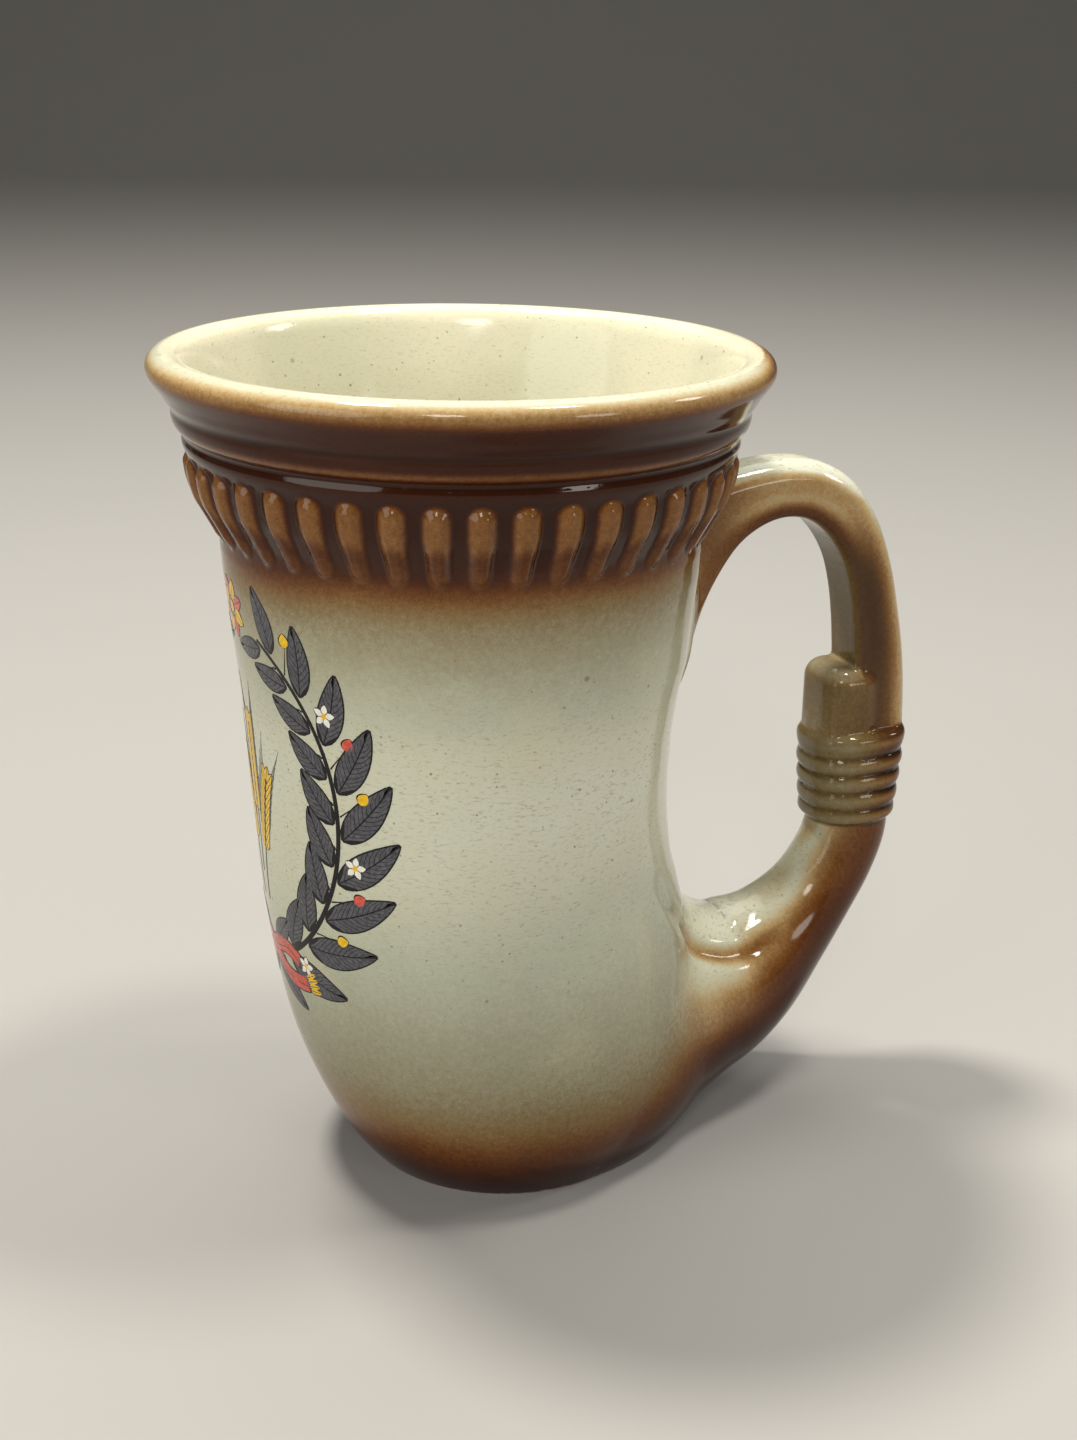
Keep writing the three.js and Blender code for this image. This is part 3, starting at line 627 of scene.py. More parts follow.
    # darker along the valley, partly glaze gathered there and partly painted shade in the crease; lighter on the tip's
    # crown, partly glaze run thin and partly a painted highlight
    near = (x > 24) & (x < 70) & (z > 26) & (z < 64)
    d, depth = valley(x[near], y[near], z[near])
    spray_and_painted_light[near] += (0.44 * smoothstep(34, 46, x[near]) + 0.24) * depth / 1.8 * np.exp(-(d / 1.6) ** 2)
    spray_and_painted_light = spray_and_painted_light - 0.20 * smoothstep(83.6, 86.6, z) * (tail < 0.6) * (x > 66) * (x < 79) * (z < 90)
    inside = ((z > 60) & (r < np.interp(z, [58, 76, 96, 112, 122, 131, 138.5, 144.6, 148.9, 150.3, 151.7], [35.0, 36.2, 38.0, 39.7, 41.2, 43.4, 45.6, 47.6, 49.6, 50.2, 50.9]))) | (
        (z <= 60) & (z > 7.5) & (hollow_field(np.hypot(x - hollow_shift(z), y), z) < 1.2))
    spray_and_painted_light = np.where(inside, np.where(z > 149.9, np.minimum(spray_and_painted_light, 0.12), 0.0), spray_and_painted_light)
    # olive on the strap's inner face, deepened there as painted shade, and on the binding's inner side
    olive = np.maximum(0.85 * (1 - flank) * (share < 0.5) * on_strap * (1 - on_bind),
                       on_bind * (0.95 - 0.75 * outward))
    olive = np.maximum(olive, 0.75 * smoothstep(0.66, 0.82, along) * on_tail * (x > 60) * (1 - on_strap) * (1 - on_bind))
    # where the spray runs out it fired greenish; above the foot the stronger grey-olive is also painted shade for the
    # lower bowl
    edge = smoothstep(0.71, 0.36, spray_and_painted_light) * smoothstep(0.0, 0.10, spray_and_painted_light) * (1 - inside) * (1 - on_bind)
    olive = np.maximum(olive, edge * (1 - on_strap) * np.where(z < 81, 0.95 - 0.85 * w_tail, 0.85 * smoothstep(130, 119, z)))
    # and down the shaded side of the strap's leg, as painted shade
    olive = np.maximum(olive, 0.55 * on_strap * leg * flank * smoothstep(0.75, 0.45, share) * (1 - on_bind))
    bare = (z < 0.42).astype(float)
    return {"spray_and_painted_light": np.clip(spray_and_painted_light, 0, 1), "olive": olive, "outside": 1.0 - inside, "bound": on_bind, "bare": bare}


# ---------------------------------------------------------------- pieces
def new_mesh(name, verts_mm, faces, normals=None, attrs=None):
    """faces: an (n, 3) or (n, 4) array, or a list of both."""
    parts = faces if isinstance(faces, list) else [faces]
    parts = [p for p in parts if len(p)]
    loops = np.concatenate([p.ravel() for p in parts]).astype(np.int32)
    size = np.concatenate([np.full(len(p), p.shape[1], np.int32) for p in parts])
    start = np.r_[0, np.cumsum(size)[:-1]].astype(np.int32)
    me = bpy.data.meshes.new(name)
    me.vertices.add(len(verts_mm))
    me.vertices.foreach_set("co", (np.asarray(verts_mm) / 1000.0).astype(np.float32).ravel())
    me.loops.add(len(loops))
    me.loops.foreach_set("vertex_index", loops)
    me.polygons.add(len(size))
    me.polygons.foreach_set("loop_start", start)
    me.polygons.foreach_set("use_smooth", np.ones(len(size), bool))
    me.update(calc_edges=True)
    for title, v in (attrs or {}).items():
        a = me.attributes.new(title, "FLOAT", "POINT")
        a.data.foreach_set("value", np.asarray(v, np.float32))
    me.validate()
    if normals is not None:
        me.normals_split_custom_set_from_vertices([tuple(n) for n in normals])
    ob = bpy.data.objects.new(name, me)
    bpy.context.scene.collection.objects.link(ob)
    return ob


def close_up(verts, quads):
    """Closes each open border of a cut-out patch with a fan inside the ware. Returns extra points and triangles."""
    a = quads.ravel()
    b = np.roll(quads, -1, axis=1).ravel()
    n = len(verts)
    key, rev = a.astype(np.int64) * n + b, b.astype(np.int64) * n + a
    open_edge = ~np.isin(key, rev)
    ea, eb = a[open_edge], b[open_edge]
    label = {}

    def find(v):
        while label.setdefault(v, v) != v:
            label[v] = label[label[v]]
            v = label[v]
        return v

    for u, v in zip(ea.tolist(), eb.tolist()):
        label[find(u)] = find(v)
    groups = {}
    for u, v in zip(ea.tolist(), eb.tolist()):
        groups.setdefault(find(u), []).append((u, v))
    extra, tris = [], []
    for edges in groups.values():
        middle = verts[[u for u, _ in edges]].mean(0)
        extra.append(middle)
        m = n + len(extra) - 1
        tris += [(v, u, m) for u, v in edges]
    return np.array(extra).reshape(-1, 3), np.array(tris, int).reshape(-1, 3)


def tidy(label, faces, small=400):
    """Gives small islands of a label to the label round them."""
    n = int(faces.max()) + 1
    k = faces.shape[1]
    a, b = faces.ravel().astype(np.int64), np.roll(faces, -1, axis=1).ravel().astype(np.int64)
    key = np.minimum(a, b) * n + np.maximum(a, b)
    order = np.argsort(key, kind="stable")
    owner = np.repeat(np.arange(len(faces)), k)[order]
    key = key[order]
    twin = np.where(key[1:] == key[:-1])[0]
    f0, f1 = owner[twin], owner[twin + 1]
    for _ in range(3):
        comp = np.arange(len(faces))
        same = label[f0] == label[f1]
        s0, s1 = f0[same], f1[same]
        while True:
            low = np.minimum(comp[s0], comp[s1])
            before = comp.copy()
            np.minimum.at(comp, s0, low)
            np.minimum.at(comp, s1, low)
            comp = comp[comp]
            if (comp == before).all():
                break
        size = np.bincount(comp, minlength=len(faces))
        tiny = size[comp] < small
        edge = ~same & (tiny[f0] | tiny[f1])
        if not edge.any():
            break
        for u, v in ((f0[edge], f1[edge]), (f1[edge], f0[edge])):
            give = tiny[u] & ~tiny[v]
            target = dict(zip(comp[u[give]].tolist(), label[v[give]].tolist()))
            for c, new in target.items():
                label[comp == c] = new
    return label


line = smooth_rows(VALLEY, 60)
line[:, :3] = settle(line[:, :3].copy(), 6)[0]
valley_line = line
V, Q = draw_skin(GRID)
V, _ = settle(V, 2)
V, Q = thin_out(V, Q, FACES)
V, N = settle(V)
maps = glaze_maps(V, N)

mid = V[Q].mean(1)
f_bind = binding_field(mid[:, 0], mid[:, 1], mid[:, 2])
is_bind = (f_bind < 0.5) & (mid[:, 0] > 62) & (mid[:, 2] > 52) & (mid[:, 2] < 78) & (np.abs(mid[:, 2] - 65.2) < 9.6)
_, m_cup, m_tail, m_strap, _ = field(mid[:, 0], mid[:, 1], mid[:, 2], parts=True)
is_strap = ~is_bind & (m_strap < np.minimum(m_cup, m_tail)) & (mid[:, 0] > 30) & (mid[:, 2] > 57)
is_tail = ~is_bind & ~is_strap & (((mid[:, 0] > SPLIT_X) & (mid[:, 2] < 58)) | ((mid[:, 0] > 62) & (mid[:, 2] < 92)))
label = tidy(np.where(is_bind, 3, np.where(is_strap, 2, np.where(is_tail, 1, 0))), Q)
NAMES = [("stoneware_cup", "cup_body", "glaze_cream"), ("stoneware_horn_tail", "horn_tail", "glaze_brown"),
         ("stoneware_strap", "strap_handle", "glaze_tan"), ("stoneware_ring_binding", "ring_binding", "glaze_olive")]
ware = []
for k, (name, node, slot) in enumerate(NAMES):
    q = Q[label == k]
    used, flat = np.unique(q, return_inverse=True)
    q = flat.reshape(q.shape)
    extra, tris = close_up(V[used], q)
    grow = lambda v: np.r_[v[used], np.zeros(len(extra))]
    nn = np.concatenate([N[used], np.tile([0.0, 0.0, 1.0], (len(extra), 1))])
    ob = new_mesh(name, np.concatenate([V[used], extra]), [q, tris], nn,
                  {k: grow(m) for k, m in maps.items()})
    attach(ob, "root")
    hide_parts(node)
    ware.append(ob)


# ---------------------------------------------------------------- glaze
def tree(name):
    m = bpy.data.materials.new(name)
    m.use_nodes = True
    nt = m.node_tree
    nt.nodes.clear()
    out = nt.nodes.new("ShaderNodeOutputMaterial")
    bsdf = nt.nodes.new("ShaderNodeBsdfPrincipled")
    nt.links.new(bsdf.outputs[0], out.inputs[0])
    return m, nt, bsdf


def add(nt, kind, inputs=None, **props):
    n = nt.nodes.new(kind)
    for k, v in props.items():
        setattr(n, k, v)
    for k, v in (inputs or {}).items():
        s = n.inputs[k]
        if isinstance(v, bpy.types.NodeSocket):
            nt.links.new(v, s)
        else:
            s.default_value = v
    return n


def math_(nt, op, a, b=None, c=None, clamp=False):
    n = nt.nodes.new("ShaderNodeMath")
    n.operation = op
    n.use_clamp = clamp
    for i, v in enumerate((a, b, c)):
        if v is None:
            continue
        if isinstance(v, bpy.types.NodeSocket):
            nt.links.new(v, n.inputs[i])
        else:
            n.inputs[i].default_value = v
    return n.outputs[0]


def mix_color(nt, fac, a, b, blend="MIX"):
    n = nt.nodes.new("ShaderNodeMix")
    n.data_type = "RGBA"
    n.blend_type = blend
    n.clamp_factor = True
    for s, v in ((n.inputs[0], fac), (n.inputs[6], a), (n.inputs[7], b)):
        if isinstance(v, bpy.types.NodeSocket):
            nt.links.new(v, s)
        else:
            s.default_value = v
    return n.outputs[2]


def map_range(nt, v, a, b, c=0.0, d=1.0, kind="SMOOTHSTEP"):
    n = nt.nodes.new("ShaderNodeMapRange")
    n.interpolation_type = kind
    nt.links.new(v, n.inputs[0])
    for i, w in zip((1, 2, 3, 4), (a, b, c, d)):
        n.inputs[i].default_value = w
    return n.outputs[0]


def ramp(nt, v, stops):
    n = nt.nodes.new("ShaderNodeValToRGB")
    nt.links.new(v, n.inputs[0])
    e = n.color_ramp.elements
    while len(e) < len(stops):
        e.new(0.5)
    for el, (p, c) in zip(e, stops):
        el.position = p
        el.color = (*c, 1)
    return n.outputs[0]


class Num:
    """A number in a node tree that can be added, multiplied and so on."""

    def __init__(self, nt, socket):
        self.nt, self.s = nt, socket

    def op(self, name, *others, clamp=False):
        raw = [o.s if isinstance(o, Num) else o for o in others]
        return Num(self.nt, math_(self.nt, name, self.s, *raw, clamp=clamp))

    def _flip(self, name, other):
        return Num(self.nt, math_(self.nt, name, other, self.s))

    def __add__(self, o): return self.op("ADD", o)
    def __radd__(self, o): return self.op("ADD", o)
    def __sub__(self, o): return self.op("SUBTRACT", o)
    def __rsub__(self, o): return self._flip("SUBTRACT", o)
    def __mul__(self, o): return self.op("MULTIPLY", o)
    def __rmul__(self, o): return self.op("MULTIPLY", o)
    def __truediv__(self, o): return self.op("DIVIDE", o)
    def __neg__(self): return self.op("MULTIPLY", -1.0)
    def hill(self, a, b): return Num(self.nt, map_range(self.nt, self.s, a, b))
    def max(self, o): return self.op("MAXIMUM", o)
    def min(self, o): return self.op("MINIMUM", o)
    def near(self, c, w): return Num(self.nt, map_range(self.nt, (self - c).op("ABSOLUTE").s, w, 0.0))


def stoneware():
    m, nt, bsdf = tree("glazed_stoneware")
    pos = add(nt, "ShaderNodeTexCoord").outputs["Object"]
    attr = lambda n: Num(nt, add(nt, "ShaderNodeAttribute", attribute_name=n).outputs["Fac"])
    spray_and_painted_light, olive, outside, bound, bare = [attr(n) for n in ("spray_and_painted_light", "olive", "outside", "bound", "bare")]
    xyz = add(nt, "ShaderNodeSeparateXYZ", {0: pos})
    x, y, z = [Num(nt, o) * 1000.0 for o in xyz.outputs]

    def noise(scale, detail=3.0, rough=0.55, vec=pos):
        return Num(nt, add(nt, "ShaderNodeTexNoise", {"Vector": vec, "Scale": scale, "Detail": detail, "Roughness": rough}).outputs["Fac"])

    flat = add(nt, "ShaderNodeVectorMath", {0: pos, 1: (1.0, 1.0, 3.2)}, operation="MULTIPLY").outputs[0]
    cloud, blotch, grain, mist, fleck = noise(24.0), noise(90.0, 4), noise(1000.0, 3, 0.6), noise(3000.0, 2, 0.6), noise(820.0, 3, 0.65, flat)

    # collar: glaze gathers in the grooves and runs thin on the bead and the lobes; the dark groove and crease lines are
    # also painted shade, the light line along the bead's lower edge partly a painted highlight
    r = (x * x + y * y).op("SQRT")
    groove_shade_and_bead_highlight = z.near(137.7, 1.2) * 0.05 + z.near(142.6, 0.8) * 0.07 - z.near(139.5, 1.2) * 0.26
    lane = y.op("ARCTAN2", x) - LOBE_TURN
    lane = lane * (LOBES / (2 * math.pi)) - 0.5
    cell = lane - lane.op("ROUND")
    across = cell.op("ABSOLUTE") * (2 * math.pi / LOBES * 46.5)
    half = z.hill(125.6, 130.1) * 0.4 + 2.1
    past = (z - 132.55).max(0.0) + ((122.6 - z) * 0.85).max(0.0)
    q = (across * across + past * past).op("SQRT") / half
    on_lobes = z.hill(118.8, 122.8) * z.hill(136.4, 134.6)
    crown = q.hill(1.10, 0.62)
    bulb = (z + across * across * 0.5).hill(125.8, 129.2)
    lobes = on_lobes * (0.04 - crown * (0.17 + bulb * 0.20))
    collar = (groove_shade_and_bead_highlight + lobes) * outside
    # binding: dark lines between the rings and lighter crests, partly glaze pooled and run thin, partly painted shade
    # and painted highlight in place of deeper relief; the dark band under the lowest ring is partly painted shadow
    h = z - BIND_LOW + y * 0.035 - (x - 80.0) * 0.03
    rings = None
    for c in (3.1, 6.7, 10.3, 13.8):
        g = h.near(c, 1.0)
        rings = g if rings is None else rings.max(g)
    crest = None
    for c in (1.3, 4.9, 8.5, 12.0, 16.3):
        g = h.near(c, 1.3)
        crest = g if crest is None else crest.max(g)
    far = x.hill(77.0, 85.0)
    ring_shade_and_highlight = bound * (rings * (0.15 + far * 0.09) - crest * (0.08 + far * 0.12) + h.near(-0.9, 1.5) * (0.24 + far * 0.12))

    s0 = (spray_and_painted_light + collar + ring_shade_and_highlight).max(0.0)
    # spray, broken up into droplets where it thins out
    thin = (s0 * (1.0 - s0) * 4.0).max(0.0)
    s = s0 + ((grain - 0.5) * 0.20 + (mist - 0.5) * 0.20) * thin + (blotch - 0.5) * 0.08
    s = s.op("ADD", 0.0, clamp=True)
    base = ramp(nt, s.s, [
        (0.0, (0.540, 0.552, 0.457)), (0.12, (0.465, 0.442, 0.322)), (0.25, (0.410, 0.305, 0.158)), (0.35, (0.335, 0.207, 0.080)),
        (0.45, (0.232, 0.128, 0.047)), (0.55, (0.172, 0.076, 0.022)), (0.65, (0.118, 0.042, 0.009)), (0.75, (0.072, 0.020, 0.0036)),
        (0.85, (0.038, 0.0085, 0.0014)), (1.0, (0.013, 0.0028, 0.0006))])
    green = ramp(nt, s.s, [
        (0.0, (0.500, 0.518, 0.410)), (0.12, (0.365, 0.386, 0.300)), (0.25, (0.262, 0.262, 0.188)), (0.42, (0.184, 0.152, 0.084)), (0.55, (0.140, 0.100, 0.036)),
        (0.7, (0.080, 0.052, 0.020)), (1.0, (0.018, 0.009, 0.003))])
    base = mix_color(nt, olive.s, base, green)
    pale = 1.0 - s.hill(0.0, 0.5)
    base = mix_color(nt, ((1.0 - outside) * 0.8).s, base, (0.690, 0.655, 0.490, 1))
    # drifts of green and buff in the pale glaze, and a fine grey-olive fleck
    base = mix_color(nt, (cloud.hill(0.40, 0.66) * pale * 0.45).s, base, (0.465, 0.480, 0.345, 1))
    base = mix_color(nt, (blotch.hill(0.5, 0.72) * pale * 0.22).s, base, (0.580, 0.520, 0.375, 1))
    base = mix_color(nt, (fleck.hill(0.53, 0.70) * pale * 0.62 * (outside * 0.6 + 0.4)).s, base, (0.290, 0.275, 0.180, 1))
    base = mix_color(nt, (mist.hill(0.55, 0.75) * pale * 0.30).s, base, (0.330, 0.310, 0.210, 1))
    # iron specks
    specks = None
    for scale, keep, size, seed in ((260.0, 0.94, 0.18, 3.1), (520.0, 0.91, 0.24, 7.7), (980.0, 0.88, 0.30, 1.3)):
        shift = add(nt, "ShaderNodeVectorMath", {0: pos, 1: (seed, seed * 0.37, -seed)}, operation="ADD").outputs[0]
        vor = add(nt, "ShaderNodeTexVoronoi", {"Vector": shift, "Scale": scale, "Randomness": 1.0})
        pick = add(nt, "ShaderNodeSeparateColor", {0: vor.outputs["Color"]})
        has = Num(nt, pick.outputs[0]).op("GREATER_THAN", keep)
        rad = Num(nt, pick.outputs[1]) * (size * 0.7) + size * 0.3
        dot = (Num(nt, vor.outputs["Distance"]) / rad).hill(1.05, 0.5) * has * (Num(nt, pick.outputs[2]) * 0.5 + 0.35)
        specks = dot if specks is None else specks.max(dot)
    base = mix_color(nt, (specks * (pale * 0.7 + 0.1)).s, base, (0.090, 0.058, 0.030, 1))
    # the unglazed standing ring
    raw = bare.hill(0.25, 0.75)
    clay = mix_color(nt, grain.hill(0.4, 0.65).s, (0.50, 0.36, 0.24, 1), (0.36, 0.24, 0.15, 1))
    base = mix_color(nt, raw.s, base, clay)
    nt.links.new(base, bsdf.inputs["Base Color"])
    rough = (blotch * 0.05 + 0.075 + specks * 0.10 + raw * 0.55).op("ADD", 0.0, clamp=True)
    nt.links.new(rough.s, bsdf.inputs["Roughness"])
    bsdf.inputs["IOR"].default_value = 1.45
    bsdf.inputs["Specular IOR Level"].default_value = 0.27
    # slow waves of a flowed glaze, a faint orange peel, and proud specks
    wave = add(nt, "ShaderNodeBump", {"Strength": 0.14, "Distance": 0.0004, "Height": noise(110.0, 2).s}).outputs[0]
    peel = add(nt, "ShaderNodeBump", {"Strength": 0.10, "Distance": 0.00006, "Height": noise(1500.0, 2).s, "Normal": wave}).outputs[0]
    spot = add(nt, "ShaderNodeBump", {"Strength": 0.20, "Distance": 0.00005, "Height": specks.s, "Normal": peel}).outputs[0]
    nt.links.new(spot, bsdf.inputs["Normal"])
    return m


GLAZE = stoneware()
for ob in ware:
    ob.data.materials.append(GLAZE)


# ---------------------------------------------------------------- printed ornament
# a sheaf of leaves with barley ears, tied with a ribbon, on the side away from the handle
PRINT_R = 38.0
PRINT = {"print_black": [], "print_slate": [], "print_gold": [], "print_red": [], "print_white": []}


def walk(start, angle, length, bend, step=1.1):
    """A bent line from a point: angle from straight up towards the right, both in degrees."""
    n = max(4, int(math.ceil(length / step)) + 1)
    t = np.linspace(0, 1, n)
    a = np.radians(angle + bend * t)
    d = np.stack([np.sin(a), np.cos(a)], 1) * (length / (n - 1))
    return np.concatenate([[start], start + np.cumsum((d[1:] + d[:-1]) / 2, axis=0)]), t


def at(line, t):
    """Points and side directions of a line at the shares t of its run."""
    k = np.linspace(0, 1, len(line))
    p = np.stack([np.interp(t, k, line[:, 0]), np.interp(t, k, line[:, 1])], -1)
    d = np.gradient(line, axis=0)
    d = np.stack([np.interp(t, k, d[:, 0]), np.interp(t, k, d[:, 1])], -1)
    d /= np.linalg.norm(d, axis=-1, keepdims=True)
    return p, np.stack([d[..., 1], -d[..., 0]], -1)


def strip(ink, line, t0, t1, left, right, cols=3, rows=None):
    """A patch of ink along a line between two side offsets, which are functions of t."""
    rows = rows or max(2, int(len(line) * (t1 - t0)) + 1)
    t = np.linspace(t0, t1, rows)
    p, nrm = at(line, t)
    lo, hi = left(t), right(t)
    v = np.linspace(0, 1, cols)
    off = lo[:, None] + (hi - lo)[:, None] * v
    PRINT[ink].append(p[:, None, :] + nrm[:, None, :] * off[..., None])


def leaf(start, angle, length, width, bend, ink="print_slate", barb=1.45, edge=0.3, lean=0.55):
    line, t = walk(np.array(start, float), angle, length, bend)
    half = lambda t: width / 2 * np.sin(np.pi * np.clip(t, 0, 1) ** 0.78) ** 0.8
    strip("print_black", line, 0.0, 1.0, lambda t: -half(t) - edge, lambda t: half(t) + edge, 5)
    n = max(2, int(round(length / barb)))
    slant = lean * width / length
    for side in (-1, 1):
        for k in range(n):
            u0, u1 = (k + 0.16) / n, (k + 1.0) / n
            v = np.linspace(0, 1, 3)
            t = np.clip(np.array([u0, (u0 + u1) / 2, u1])[:, None] * (1 - slant * 0.6) + 0.02 + slant * v[None] ** 1.3, 0.02, 0.97)
            p, nrm = at(line, t)
            off = side * (0.13 + v[None] * np.maximum(half(t) - 0.13, 0.03))
            g = p + nrm * off[..., None]
            PRINT[ink].append(g if side > 0 else g[:, ::-1])


def drop(start, angle, length, width, ink, edge=0.22, crease=True):
    line, t = walk(np.array(start, float), angle, length, 0, 0.7)
    half = lambda t: width / 2 * np.sin(np.pi * np.clip(t, 0, 1) ** 0.8) ** 0.75
    strip("print_black", line, 0, 1, lambda t: -half(t) - edge, lambda t: half(t) + edge, 4)
    if crease:
        strip(ink, line, 0.05, 0.95, lambda t: -half(t) * 0.97, lambda t: -0.09 + 0 * t, 2)
        strip(ink, line, 0.05, 0.95, lambda t: 0.09 + 0 * t, lambda t: half(t) * 0.97, 2)
    else:
        strip(ink, line, 0.04, 0.96, lambda t: -half(t) * 0.97, lambda t: half(t) * 0.97, 4)


def stroke(start, angle, length, bend, width=0.26, ink="print_black", taper=True):
    line, t = walk(np.array(start, float), angle, length, bend, 0.8)
    w = lambda t: width / 2 * (1 - 0.75 * t if taper else 1 + 0 * t)
    strip(ink, line, 0, 1, lambda t: -w(t), lambda t: w(t), 2)
    return line


def ear(start, angle, bend, grains=7):
    line = stroke(start, angle, 12.0 + grains * 1.5, bend, 0.5, taper=False)
    for k in range(grains):
        t = 0.42 + 0.56 * k / (grains - 1)
        p, nrm = at(line, np.array([t]))
        here = angle + bend * t
        for side in (-1, 1):
            tip = p[0] + nrm[0] * side * 0.55
            drop(tip, here + side * 24, 3.0, 1.5, "print_gold")
            stroke(tip + 2.8 * np.array([math.sin(math.radians(here + side * 24)), math.cos(math.radians(here + side * 24))]),
                   here + side * 16, 5.2 + 1.4 * (k / grains), side * -8, 0.2)
    p, nrm = at(line, np.array([0.99]))
    drop(p[0], angle + bend, 3.0, 1.5, "print_gold")


def ribbon_run(start, angle, length, bend, width=2.6):
    line, t = walk(np.array(start, float), angle, length, bend)
    h = width / 2
    strip("print_black", line, 0, 1, lambda t: -h - 0.28 + 0 * t, lambda t: h + 0.28 + 0 * t, 4)
    strip("print_red", line, 0.02, 0.98, lambda t: -h + 0 * t, lambda t: 0.25 + 0.35 * np.sin(t * 7), 3)
    strip("print_red", line, 0.02, 0.98, lambda t: 0.45 + 0.35 * np.sin(t * 7), lambda t: h + 0 * t, 3)
    return line


MIDDLE = np.array([0.0, 77.0])
branch_t = np.radians(np.linspace(-101, 68, 220))
for side in (-1, 1):
    branch = even(np.stack([25.5 * np.cos(branch_t) * side, 77.0 + 31.5 * np.sin(branch_t)], 1), 0.8)
    strip("print_black", branch, 0, 1, lambda t: -0.55 + 0.2 * t, lambda t: 0.55 - 0.2 * t, 3)
    run = np.r_[0, np.cumsum(np.hypot(*np.diff(branch, axis=0).T))]
    total_run = run[-1]

    def spot(d):
        q, nrm = at(branch, np.array([d / total_run]))
        t = np.array([nrm[0][1] * -1, nrm[0][0]])
        return q[0], nrm[0] * side, math.degrees(math.atan2(t[0], t[1]))

    count = 10
    for k in range(count):
        d = 5.0 + k * (total_run - 9.0) / (count - 1)
        size = 1.0 - 0.30 * (k / (count - 1)) ** 2 - 0.12 * (k == 0)
        # outer rank, long and pointed
        q, out, head = spot(d)
        leaf(q + out * 0.8, head + side * 43, 16.5 * size, 5.7 * size, side * -15, barb=1.35)
        # inner rank
        q, out, head = spot(min(d + 2.6, total_run))
        leaf(q - out * 0.8, head - side * 45, 12.0 * size, 4.9 * size, side * 16, barb=1.3)
        # tendrils and berries in the gaps
        if k < count - 1:
            q, out, head = spot(d + 4.3)
            if k % 3 == 1:
                c = q + out * 3.6
                for j in range(5):
                    ang = 72 * j + 10
                    drop(c + 0.35 * np.array([math.sin(math.radians(ang)), math.cos(math.radians(ang))]), ang, 1.75, 1.25, "print_white", crease=False)
                drop(c - [0, 0.6], 0, 1.2, 1.1, "print_gold", edge=0.15, crease=False)
            else:
                stroke(q + out * 0.6, head + side * 52, 5.0, side * 4, 0.3)
                e = walk(q + out * 0.6, head + side * 52, 5.0, side * 4, 0.8)[0][-1]
                drop(e, head + side * 38, 2.5, 2.1, "print_gold" if k % 3 else "print_red", edge=0.25, crease=False)
            q, out, head = spot(d + 6.2)
            stroke(q - out * 0.5, head - side * 20, 5.5, side * -190, 0.34)
    # ribbon from the knot
    ribbon_run(np.array([side * 1.4, 46.3]), side * 62, 11.0, side * 55, 3.0)
    tail_line = ribbon_run(np.array([side * 1.2, 44.6]), side * 128, 13.5, side * -58, 3.0)
    q, nrm = at(tail_line, np.array([1.0]))
    for k in range(4):
        drop(q[0] + nrm[0] * (-1.2 + 0.8 * k), side * (72 + (k - 1.5) * side * 7), 3.6, 1.1, "print_gold")
    # side ears of barley
    ear(np.array([side * 1.6, 55.0]), side * 4, side * 15, 9)
# middle ear, knot and the flower at the top
ear(np.array([0.0, 60.0]), 0, 0, 11)
strip("print_black", walk(np.array([-3.2, 45.4]), 90, 6.4, 0, 0.8)[0], 0, 1, lambda t: -2.3 + 0 * t, lambda t: 2.3 + 0 * t, 4)
for k in range(3):
    strip("print_red", walk(np.array([-2.9, 46.8 - 1.4 * k]), 90, 5.8, 0, 0.8)[0], 0, 1, lambda t: -0.55 + 0 * t, lambda t: 0.55 + 0 * t, 2)
for j in range(8):
    ang = 45 * j + 22.5
    drop(np.array([0.0, 109.5]) + 1.5 * np.array([math.sin(math.radians(ang)), math.cos(math.radians(ang))]), ang, 4.0, 2.5, "print_red" if j % 2 else "print_gold")
drop(np.array([0.0, 108.3]), 0, 2.4, 2.2, "print_gold", crease=False)


